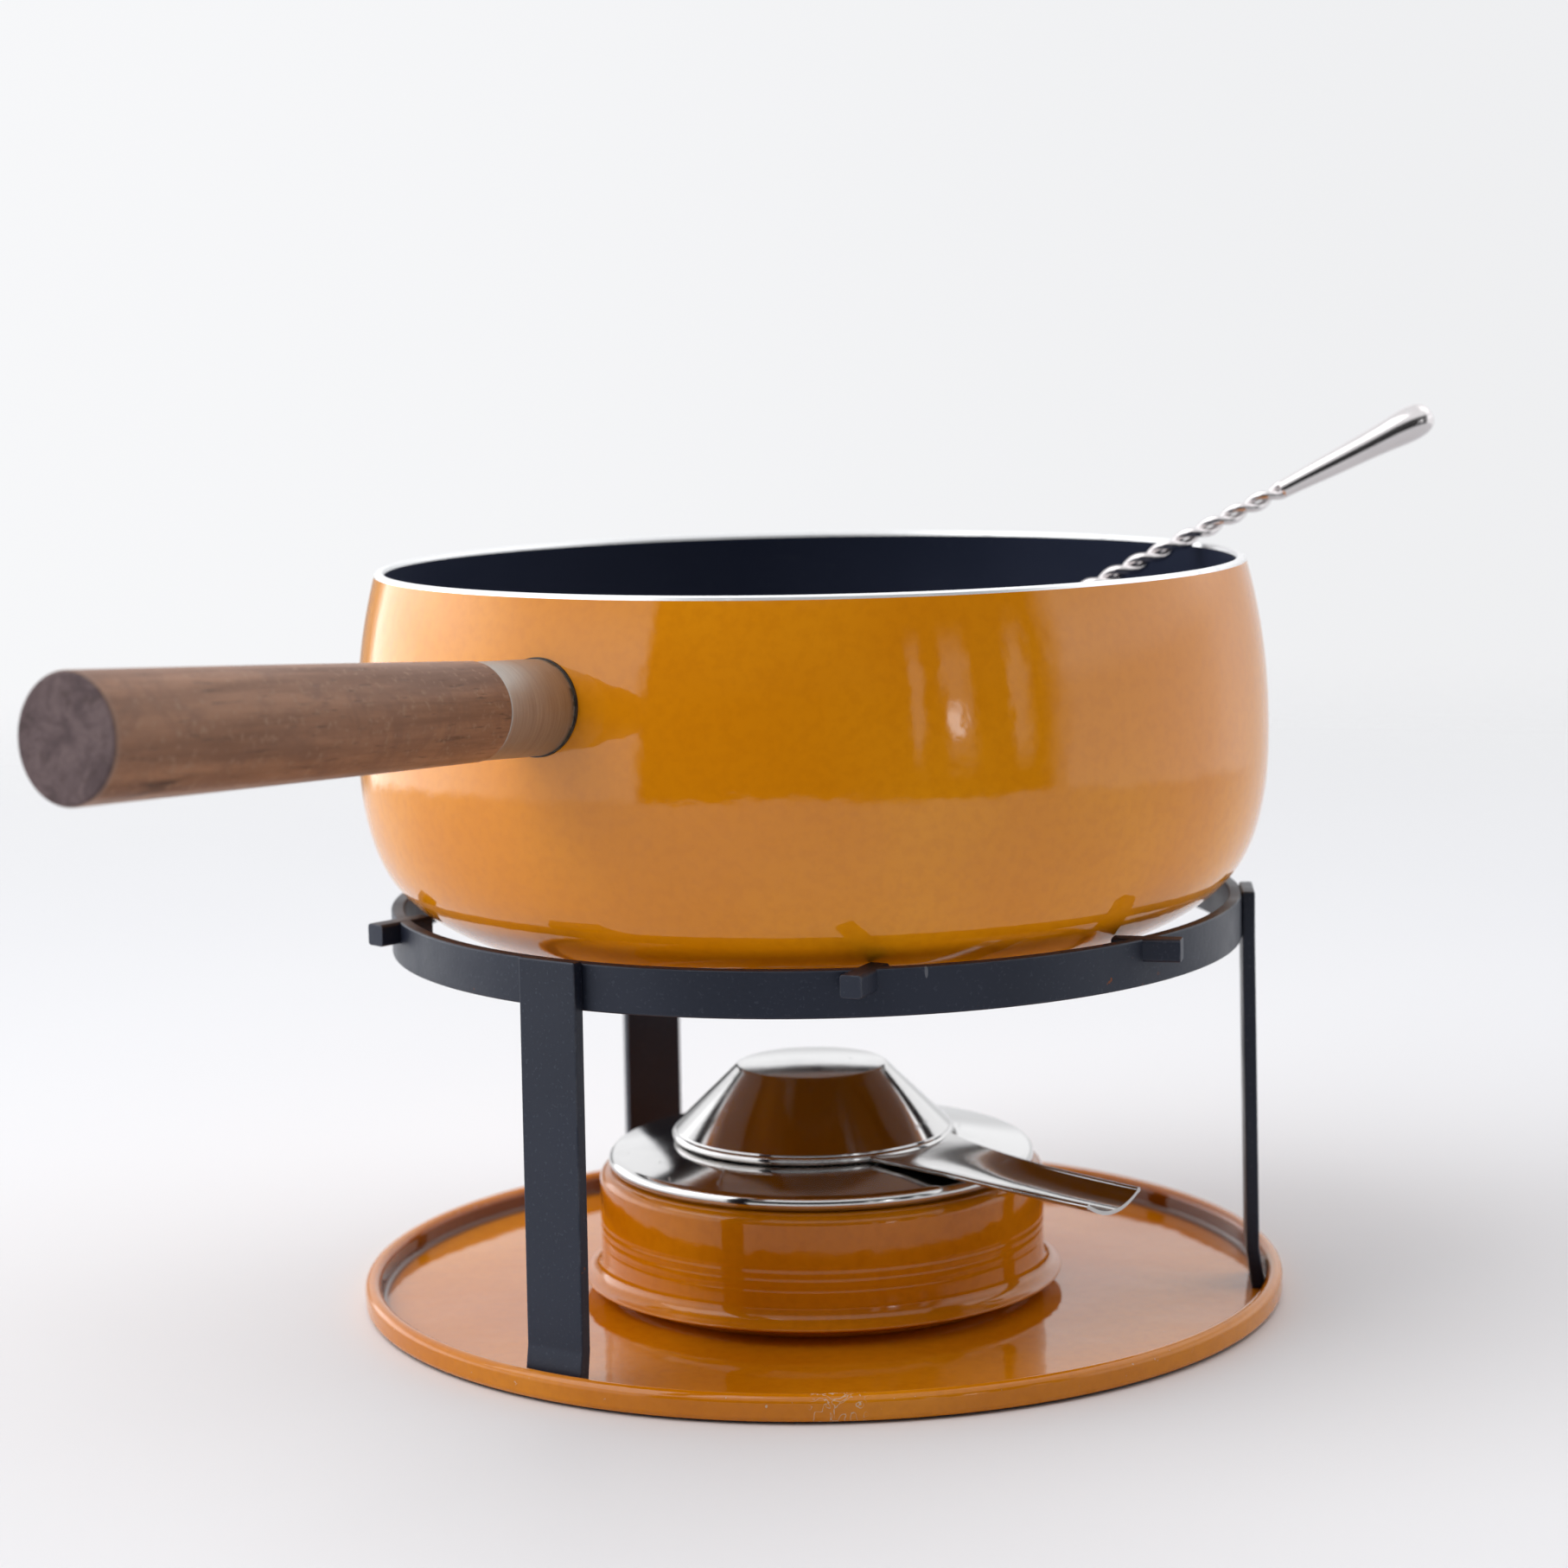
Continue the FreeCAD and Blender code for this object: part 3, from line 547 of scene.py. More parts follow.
def walnut(length):
    """Dark oiled walnut: long grain, open pores, dark streaks, handling wear and mottled end grain."""
    look = Look("walnut_look")
    z = look.split()["Z"]
    bend = look.node("ShaderNodeTexNoise", {"Vector": look.stretched(14, 14, 5), "Scale": 1.0, "Detail": 2.0})
    drift = look.stretched(0.008, 0.008, 0.03, bend.outputs["Color"])
    shifted = look.node("ShaderNodeVectorMath", {0: look.place, 1: drift}, operation="ADD").outputs["Vector"]
    grain = look.noise(1.0, 6.0, 0.65, look.stretched(210, 210, 11, shifted))
    fine = look.noise(1.0, 5.0, 0.7, look.stretched(900, 900, 45, shifted))
    broad = look.noise(1.0, 3.0, 0.55, look.stretched(60, 60, 13, shifted))
    colour = look.mix(look.ramp(grain, 0.30, 0.72), (0.150, 0.065, 0.033), (0.330, 0.160, 0.086))
    colour = look.mix(look.ramp(broad, 0.42, 0.70, 0.0, 0.65), colour, (0.360, 0.176, 0.100))
    colour = look.mix(look.ramp(fine, 0.52, 0.74, 0.0, 0.40), colour, (0.105, 0.046, 0.028))
    pores = look.ramp(look.noise(1.0, 2.0, 0.5, look.stretched(1500, 1500, 120, shifted)), 0.64, 0.70)
    colour = look.mix(look.times(pores, 0.60), colour, (0.035, 0.016, 0.011))
    streak = look.ramp(look.noise(1.0, 3.0, 0.6, look.stretched(110, 110, 24, shifted)), 0.610, 0.68)
    colour = look.mix(look.times(streak, 0.8), colour, (0.020, 0.011, 0.009))
    pale = spots(look, 420, 0.09, thin=0.63)
    near_ferrule = look.ramp(z, 60 * MM, 30 * MM)
    colour = look.mix(look.times(look.times(pale, near_ferrule), 0.6), colour, (0.33, 0.22, 0.15))
    cloud = look.ramp(look.noise(60, 6.0, 0.75, distortion=1.0), 0.40, 0.64, 0.0, 0.75)
    colour = look.mix(cloud, colour, (0.190, 0.090, 0.052))
    fleck = look.ramp(look.noise(620, 3.0, 0.6), 0.55, 0.70, 0.0, 0.5)
    colour = look.mix(fleck, colour, (0.340, 0.205, 0.130))
    cut_face = look.ramp(z, (length - 0.55) * MM, (length - 0.25) * MM)
    mottle = look.noise(130, 5.0, 0.7, distortion=1.2)
    pith = look.noise(380, 3.0, 0.6)
    end_grain = look.mix(look.ramp(mottle, 0.38, 0.66), (0.075, 0.045, 0.048), (0.155, 0.105, 0.105))
    end_grain = look.mix(look.ramp(pith, 0.55, 0.72, 0.0, 0.5), end_grain, (0.045, 0.022, 0.018))
    colour = look.mix(cut_face, colour, end_grain)
    edge_line = look.times(look.ramp(z, (length - 1.6) * MM, (length - 0.8) * MM),
                           look.ramp(z, (length - 0.05) * MM, (length - 0.6) * MM))
    colour = look.mix(look.times(edge_line, 0.35), colour, (0.30, 0.20, 0.15))
    roughness = look.blend(look.ramp(grain, 0.35, 0.7), 0.50, 0.40)
    roughness = look.blend(cut_face, roughness, 0.62)
    relief = look.sum(look.times(grain, 0.5), look.times(pores, -0.6))
    normal = look.bump(relief, 0.10, 0.8)
    normal = look.bump(fine, 0.05, 0.7, normal)
    return look.finish(Base_Color=colour, Roughness=roughness, Normal=normal, Specular_IOR_Level=0.30)


def dark_seal():
    look = Look("gasket_look")
    worn = look.noise(520, 3.0)
    colour = look.mix(look.ramp(worn, 0.4, 0.7), (0.012, 0.010, 0.008), (0.065, 0.048, 0.032))
    return look.finish(Base_Color=colour, Roughness=0.6, Normal=look.bump(worn, 0.08, 0.8))


def machined_steel():
    look = Look("machined_steel_look")
    lines = look.noise(1.0, 3.0, 0.6, look.stretched(700, 700, 700))
    colour = look.mix(look.ramp(lines, 0.35, 0.7), (0.42, 0.42, 0.43), (0.62, 0.62, 0.62))
    stain = look.ramp(look.noise(70, 4.0), 0.5, 0.7, 0.0, 0.5)
    colour = look.mix(stain, colour, (0.30, 0.25, 0.20))
    return look.finish(Base_Color=colour, Metallic=1.0, Roughness=look.blend(stain, 0.3, 0.5),
                       Normal=look.bump(lines, 0.02, 0.6))


def wire_gauze():
    """Woven wire: two crossed sets of rounded strands, with painted shade in the gaps."""
    look = Look("gauze_look")
    wires_per_metre = 900
    ridges = []
    for axis in look.split()[:2]:
        turn = look.times(axis, 2 * math.pi * wires_per_metre)
        ridges.append(look.node("ShaderNodeMath", {0: turn}, operation="SINE").outputs[0])
    weave = look.most(*ridges)
    wire = look.ramp(weave, 0.0, 0.8)
    soot = look.ramp(look.noise(60, 4.0), 0.4, 0.65)
    metal = look.mix(soot, (0.42, 0.40, 0.37), (0.10, 0.085, 0.075))
    # Painted shade: the gaps between the wires are near black.
    colour = look.mix(wire, (0.02, 0.018, 0.016), metal)
    return look.finish(Base_Color=colour, Metallic=look.blend(wire, 0.0, 1.0), Roughness=0.42,
                       Normal=look.bump(weave, 0.25, 1.0))


def wadding_look():
    look = Look("wadding_look")
    fibres = look.noise(1.0, 6.0, 0.75, look.stretched(260, 900, 500), distortion=2.0)
    colour = look.mix(look.ramp(fibres, 0.3, 0.7), (0.50, 0.47, 0.41), (0.80, 0.78, 0.72))
    return look.finish(Base_Color=colour, Roughness=0.95, Normal=look.bump(fibres, 0.6, 1.0))


# ---------------------------------------------------------------- tray

def build_tray(look):
    radius = reach("tray_pan")
    top = high("tray_pan")
    sheet, roll, hem, corner = 0.9, 1.9, 1.5, 1.2
    wall = radius - 2 * roll
    floor_end = wall - corner
    bend = (floor_end, sheet + corner)
    crown = (radius - roll, top - roll)
    foot = (radius - hem, hem + 0.4)
    outline = [(0, 0), (floor_end * 0.5, 0)]
    outline += arc(bend, corner + sheet, -90, 0)
    outline += arc(crown, roll - sheet, 180, 0)
    outline += arc(foot, hem - sheet, 0, -75)
    outline += arc(foot, hem, -75, 0)
    outline += arc(crown, roll, 0, 180, 16)
    outline += arc(bend, corner, 0, -90)
    outline += [(floor_end * 0.5, sheet), (0, sheet)]
    piece("tray", lathe("tray", outline), [look], "tray", ["tray_pan"])


# ---------------------------------------------------------------- stand

RING_BAR = 3.0
LEG_AZIMUTHS = {"front": -34.3, "right": 85.7, "rear": 205.7}
PEG = 5.0
PEG_PAIR_AZIMUTHS = (26.0, 146.0, 266.0)
PEG_SPREAD = 20.5                # degrees from the middle of a pair to each bar
PEG_TOE = 30.0                   # degrees each bar is turned from the ring's radius


def build_stand(look):
    radius = reach("stand_ring")
    top = high("stand_ring")
    base = low("stand_ring")
    edge = 0.45
    hoop = rounded([(radius - RING_BAR, base, edge), (radius, base, edge), (radius, top, edge),
                    (radius - RING_BAR, top, edge)])
    piece("ring", lathe("ring", hoop, 320), [look], "stand", ["stand_ring"])
    for place, azimuth in LEG_AZIMUTHS.items():
        build_leg(look, "stand_leg_" + place, azimuth, radius, base)
    for number, azimuth in enumerate(PEG_PAIR_AZIMUTHS, 1):
        for letter, side in (("a", -1), ("b", 1)):
            build_peg(look, "support_peg_%d%s" % (number, letter),
                      azimuth + side * PEG_SPREAD, side * PEG_TOE, radius, top)


def build_leg(look, node, azimuth, radius, bend):
    """A flat bar that leans out a little and is kicked out at the foot."""
    lean, kick, kick_height, toe, width = 0.8, 1.2, 10.5, 1.5, 15.0
    foot = low(node)
    inner = radius - 0.2
    outline = rounded([
        (inner, high(node), 0.5),
        (inner, bend, 0),
        (inner + lean, kick_height, 8),
        (inner + lean + kick, foot, 0.3),
        (inner + lean + kick + RING_BAR - toe, foot, 0.4),
        (inner + lean + kick + RING_BAR, foot + toe, 0.6),
        (inner + lean + RING_BAR, kick_height, 8),
        (inner + RING_BAR, bend, 0),
        (inner + RING_BAR, high(node), 0.5),
    ])
    piece(node + "_bar", prism(node, outline, width, 0.5), [look], "stand", [node],
          turned_to(azimuth))


def build_peg(look, name, azimuth, toe, radius, top):
    """A short square bar with rounded long edges that crosses the ring."""
    length_in, length_out = 8.3, 6.8
    lift = 0.05
    half = PEG / 2
    section = rounded([(-half, -half, 0.8), (half, -half, 0.8), (half, half, 0.8), (-half, half, 0.8)])
    mesh = prism(name, section, length_in + length_out, 0.35)
    along = Matrix.Translation(Vector((0, (length_in - length_out) / 2, 0)) * MM)
    centre = outward(azimuth) * radius + Vector((0, 0, top - half + lift))
    place = Matrix.Translation(centre * MM) @ Matrix.Rotation(math.radians(azimuth + toe), 4, "Z") @ along
    piece(name, mesh, [look], "stand", ["pot_support_pegs"], place)


# ---------------------------------------------------------------- pot

POT_WALL = 2.2
POT_FLAT = 66                    # radius of the flat bottom
RIM_INSET = 5.1                  # how far the rim stands inside the widest radius
RIM_CROWN = 0.4


def build_pot(outside, rim, inside):
    radius = reach("pot_shell")
    base = low("pot_shell")
    lip = high("pot_shell") - RIM_CROWN
    side = spline([
        (radius - RIM_INSET, lip), (radius - 1.2, lip - 19), (radius, lip - 38), (radius - 1.5, lip - 56.5),
        (radius - 6.9, lip - 70.2), (radius - 18.1, lip - 79.8), (POT_FLAT, base),
    ], (0.28, -1), (-1, -0.08), 90)
    bare_spans = 1
    side.insert(bare_spans, tuple(np.mean(side[:2], axis=0)))
    lining = offset(side[:1] + side[2:], -POT_WALL)[::-1]
    lining[0] = (POT_FLAT, base + POT_WALL)
    rim_arc = [(lining[-1][0] + (side[0][0] - lining[-1][0]) * t, lip + RIM_CROWN * math.sin(math.pi * t))
               for t in (0.12, 0.3, 0.5, 0.7, 0.88)]
    outline = side + [(0, base), (0, base + POT_WALL)] + lining + rim_arc
    zones = [1] * bare_spans + [0] * (len(side) + 1 - bare_spans) + [2] * len(lining)
    zones += [1] * (len(outline) - len(zones))
    mesh = lathe("pot", outline, 320, zones)
    piece("pot", mesh, [outside, rim, inside], "pot", ["pot_shell"])


# ---------------------------------------------------------------- pot handle

HANDLE_AZIMUTH = -33.3
HANDLE_TILT = 3.7
FERRULE_RADIUS = 10.1
FERRULE_END = 21.0
FERRULE_WALL = 0.8
STUD_MIDDLE = 31.0               # along the handle's axis, from the pot wall
GRIP_END = 135.4
GRIP_ROOT = 10.3                 # radius by the ferrule
GRIP_FLARE = 1.9                 # how much thicker the grip is at its end
GRIP_BULGE = 0.10
GRIP_ROOT_EDGE = 0.4
GRIP_END_EDGE = 0.9


def handle_place():
    """The handle's axis, from the pot wall, taken from the middle of its stud."""
    tilt = math.radians(HANDLE_TILT)
    direction = outward(HANDLE_AZIMUTH) * math.cos(tilt) + Vector((0, 0, math.sin(tilt)))
    return frame_along(middle("handle_stud") - direction * STUD_MIDDLE, direction)


def build_handle(steel, wood):
    place = handle_place()
    start = -1.7
    bore = FERRULE_RADIUS - FERRULE_WALL
    sleeve = rounded([(bore, start, 0), (FERRULE_RADIUS, start, 0),
                      (FERRULE_RADIUS, FERRULE_END, 0.25), (bore, FERRULE_END, 0.25)])
    sleeve[1:2] = [(FERRULE_RADIUS, start + step) for step in range(0, 22, 3)]
    mesh = lathe("ferrule", sleeve, 160)
    piece("ferrule", mesh, [steel], "pot", ["handle_ferrule"], place)
    root = FERRULE_END + 0.05
    spigot = bore - 0.02
    depth = 10
    steps = 24
    flank = []
    for step in range(1, steps):
        share = step / steps
        bulge = GRIP_BULGE * math.sin(math.pi * share)
        height = root + GRIP_ROOT_EDGE + (GRIP_END - 1.4 - root) * share
        flank.append((GRIP_ROOT + GRIP_FLARE * share + bulge, height))
    outline = [(0, root - depth), (spigot, root - depth), (spigot, root)]
    outline += arc((GRIP_ROOT - GRIP_ROOT_EDGE, root + GRIP_ROOT_EDGE), GRIP_ROOT_EDGE, -90, 0, 4)
    outline += flank
    end_centre = (GRIP_ROOT + GRIP_FLARE - GRIP_END_EDGE, GRIP_END - GRIP_END_EDGE)
    outline += arc(end_centre, GRIP_END_EDGE, 0, 90, 8)
    outline += [(r, GRIP_END) for r in (9, 6, 3, 0)]
    piece("grip", lathe("grip", outline, 160), [wood], "pot", ["handle_grip"], place)


# ---------------------------------------------------------------- fork

FORK_TIP = Vector((-77.0, 21.0, 92.1))
FORK_LENGTH = 251.5
FORK_HANDLE = 40.3
FORK_BELLY = 4.1                 # largest radius of the handle
STRAND = 1.05
TINE_TAPER = 7
TINE_POINT = 0.3
TWIST_PITCH = 13.0
TWIST_START = 46.0


def strand_path(phase):
    """A straight tine that bends in to the axis, then a helix up to the handle."""
    reach_out, spread, straight = STRAND + 0.15, 3.6, 34.0
    top = FORK_LENGTH - FORK_HANDLE + 0.6
    heights = np.concatenate([[0, TINE_TAPER / 2, TINE_TAPER, 15, 25], np.arange(straight, top, 0.65), [top]])
    path = []
    for height in heights:
        share = min(max((height - straight) / (TWIST_START - straight), 0), 1)
        ease = share * share * (3 - 2 * share)
        away = spread + (reach_out - spread) * ease
        turn = phase + 2 * math.pi * max(height - TWIST_START, 0) / TWIST_PITCH
        path.append((away * math.cos(turn), away * math.sin(turn), height))
    return heights, path


def build_fork(steel):
    place = frame_along(FORK_TIP, joint_axis("fork_slide"))
    for name, phase in (("fork_strand_a", math.pi / 2), ("fork_strand_b", -math.pi / 2)):
        heights, path = strand_path(phase)
        radii = [STRAND if h >= TINE_TAPER else TINE_POINT + (STRAND - TINE_POINT) * h / TINE_TAPER
                 for h in heights]
        bm = bmesh.new()
        tube_along(bm, path, radii)
        piece(name + "_rod", smooth_mesh(name, bm), [steel], "fork", [name], place)
    neck = FORK_LENGTH - FORK_HANDLE
    outline = [(0, neck), (1.9, neck)] + spline([
        (2.2, neck + 0.4), (2.8, neck + FORK_HANDLE * 0.3),
        (FORK_BELLY - 0.35, neck + FORK_HANDLE * 0.72), (FORK_BELLY, FORK_LENGTH - FORK_BELLY - 1.5),
        (FORK_BELLY * 0.62, FORK_LENGTH - 0.8), (0, FORK_LENGTH),
    ], (0.02, 1), (-1, 0), 48)
    mesh = lathe("fork_grip", outline, 72)
    piece("fork_grip", mesh, [steel], "fork", ["fork_handle"], place)


# ---------------------------------------------------------------- burner

HOLDER_RADIUS = 52.3
HOLDER_FOOT = 47.8               # radius of the flat underside
FOOT_EDGE = 1.5
SKIRT = 56.0                     # largest radius, at the flared lip
SKIRT_EDGE = 0.35
GROOVES = (12.9, 15.5, 17.5)
GROOVE_HALF_WIDTH = 0.85


def build_burner(paint, steel):
    foot, top = low("burner_holder"), high("burner_holder")
    lip = 4.8
    wall, shoulder = 1.2, 2.6
    inside = HOLDER_RADIUS - wall
    neck = lip + 4.6
    outline = [(0, foot), (HOLDER_FOOT, foot)]
    outline += arc((HOLDER_FOOT, foot + FOOT_EDGE), FOOT_EDGE, -90, 0)
    outline += spline([(49.3, foot + FOOT_EDGE), (50.9, lip - 1.9), (SKIRT, lip - SKIRT_EDGE)],
                      (0.05, 1), (1, 0.25), 12)[1:]
    outline += arc((SKIRT, lip), SKIRT_EDGE, -80, 80, 6)
    outline += spline([(SKIRT, lip + SKIRT_EDGE), (53.3, lip + 1.5), (HOLDER_RADIUS, neck)],
                      (-1, 0.1), (0, 1), 12)[1:]
    for groove in GROOVES:
        outline += [(HOLDER_RADIUS - 0.04 * (1 + math.cos(math.pi * share)),
                     groove + GROOVE_HALF_WIDTH * share)
                    for share in (-1, -0.6, -0.3, 0, 0.3, 0.6, 1)]
    outline += arc((HOLDER_RADIUS - shoulder, top - shoulder), shoulder, 0, 90)
    outline += [(45.5, top), (45.5, top - wall)]
    outline += arc((HOLDER_RADIUS - shoulder, top - shoulder), shoulder - wall, 90, 0)
    outline += [(inside, neck), (inside - 1.2, lip - 0.6), (inside - 4, foot + wall), (0, foot + wall)]
    piece("holder", lathe("holder", outline), [paint], "burner", ["burner_holder"])

    radius, crown = reach("burner_plate"), high("burner_plate")
    sheet, roll, mouth = 0.7, 1.9, 31.6
    bead = (radius - roll, top + 0.02 + roll)
    flat = bead[1] + roll
    outline = arc(bead, roll, 90, -160, 24)
    outline += arc(bead, roll - sheet, -160, 90, 12)
    outline += [(mouth + 1.2, crown - sheet), (mouth + sheet, crown - 1.4), (mouth + sheet, crown - 4.8),
                (mouth, crown - 4.8)]
    outline += arc((mouth + 1.2, crown - 1.2), 1.2, 180, 95, 8)
    outline += [(40, crown - (crown - flat) * 0.46)]
    mesh = lathe("burner_cover", outline)
    piece("burner_cover", mesh, [steel], "burner", ["burner_plate"])


# ---------------------------------------------------------------- snuffer

# Sections of the lever: distance from the cone's axis, half width, height of the edges, depth of the trough
LEVER = [
    (26.0, 15.4, 38.4, 0.05), (38.0, 12.4, 37.2, 0.2), (49.0, 10.9, 36.4, 1.1), (61.0, 10.2, 35.6, 2.6),
    (74.0, 9.9, 35.1, 3.1), (87.5, 9.6, 34.7, 3.2),
]
LEVER_ROOT = 29.5
LEVER_AZIMUTH = 49.0
HEM = 0.62
HEM_INSET = 0.3


def build_snuffer(steel, lever_steel):
    axis = middle("snuffer_cone")
    centre = Matrix.Translation(Vector((axis.x, axis.y, 0)) * MM)
    base, top = low("snuffer_cone"), high("snuffer_cone")
    bead, sheet, edge, top_radius, crown = 1.0, 0.7, 1.6, 18.4, 0.8
    radius = reach("snuffer_cone")
    foot = radius - bead
    edge_height = top - crown
    outline = [(r, top - crown * (r / top_radius) ** 2) for r in (0, 3, 6, 9, 12, 15)]
    outline += rounded([(15, edge_height + 0.27, 0), (top_radius - 0.8, edge_height, edge),
                        (foot + 0.2, base + 2 * bead + 0.4, 0.8), (foot + 0.5, base + 2 * bead - 0.1, 0)],
                       closed=False, steps=8)[1:-1]
    outline += arc((foot, base + bead), bead, 75, -180, 18)
    outline += [(foot - sheet, base + 2 * bead), (top_radius - 1.9, edge_height - sheet), (0, top - sheet)]
    mesh = lathe("snuffer", outline)
    piece("snuffer", mesh, [steel], "snuffer", ["snuffer_cone"], centre)
    build_lever(lever_steel, centre)


def build_lever(steel, centre):
    """A strip of sheet, flat at the cone and dished into a trough for the thumb, with hemmed sides."""
    thickness = 0.9
    stations = 40
    across = 20
    sections = np.array(LEVER)
    starts = sections[:, 0]
    bm = bmesh.new()
    rings = []
    hem_left, hem_right = [], []
    for i in range(stations + 1):
        distance = LEVER_ROOT + (starts[-1] - LEVER_ROOT) * i / stations
        half, edge, depth = smooth_table(starts, sections[:, 1:], distance)
        over, under = [], []
        for k in range(across + 1):
            side = -1 + 2 * k / across
            dip = depth * (1 - side * side)
            over.append(bm.verts.new(Vector((distance, side * half, edge - dip)) * MM))
            under.append(bm.verts.new(Vector((distance, side * half, edge - dip - thickness)) * MM))
        rings.append(over + under[::-1])
        hem_left.append((distance, -half + HEM_INSET, edge - HEM))
        hem_right.append((distance, half - HEM_INSET, edge - HEM))
    for one, two in zip(rings, rings[1:]):
        for k in range(len(one)):
            bm.faces.new((one[k], one[(k + 1) % len(one)], two[(k + 1) % len(one)], two[k]))
    bm.faces.new(rings[0])
    bm.faces.new(rings[-1][::-1])
    for path in (hem_left, hem_right):
        tube_along(bm, path, [HEM] * len(path), 12)
    place = centre @ turned_to(LEVER_AZIMUTH)
    piece("lever", smooth_mesh("lever", bm), [steel], "snuffer", ["snuffer_lever"], place)


def smooth_table(knots, rows, value):
    """Values between the rows of a table, eased at each row by a three-point average."""
    near = [np.array([np.interp(value + shift, knots, rows[:, c]) for c in range(rows.shape[1])])
            for shift in (-4, 0, 4)]
    return near[0] * 0.25 + near[1] * 0.5 + near[2] * 0.25


# ---------------------------------------------------------------- studio

# Camera on the -Y side, in millimetres and radians
CAMERA_BACK = 817.7
CAMERA_HEIGHT = 230.7
CAMERA_YAW = -0.0085
CAMERA_PITCH = 0.1349
CAMERA_ROLL = -0.0206
LENS = 81.32
FOCUS = 740.0
F_STOP = 14.0
LIGHTS_AIM = Vector((0, 0, 120))
FLOOR_HALF = 3000
FLOOR_GAP = 0.05                 # keeps the floor just under the tray


def build_camera():
    data = bpy.data.cameras.new("camera")
    data.lens = LENS
    data.sensor_width = 36.0
    data.clip_end = 50.0
    data.dof.use_dof = True
    data.dof.focus_distance = FOCUS * MM
    data.dof.aperture_fstop = F_STOP
    camera = bpy.data.objects.new("camera", data)
    bpy.context.scene.collection.objects.link(camera)
    level = math.cos(CAMERA_PITCH)
    ahead = Vector((math.sin(CAMERA_YAW) * level, math.cos(CAMERA_YAW) * level, -math.sin(CAMERA_PITCH)))
    right = Vector((math.cos(CAMERA_YAW), -math.sin(CAMERA_YAW), 0))
    up = right.cross(ahead)
    rolled_right = right * math.cos(CAMERA_ROLL) + up * math.sin(CAMERA_ROLL)
    rolled_up = up * math.cos(CAMERA_ROLL) - right * math.sin(CAMERA_ROLL)
    turn = Matrix((rolled_right, rolled_up, -ahead)).transposed().to_4x4()
    camera.matrix_world = Matrix.Translation(Vector((0, -CAMERA_BACK, CAMERA_HEIGHT)) * MM) @ turn
    bpy.context.scene.camera = camera


def area_light(name, place, size, power):
    """A square lamp turned to the object, in metres and watts."""
    data = bpy.data.lights.new(name, "AREA")
    data.shape = "RECTANGLE"
    data.size = data.size_y = size
    data.energy = power
    lamp = bpy.data.objects.new(name, data)
    bpy.context.scene.collection.objects.link(lamp)
    lamp.location = Vector(place) * MM
    lamp.rotation_euler = (LIGHTS_AIM - Vector(place)).to_track_quat("-Z", "Y").to_euler()


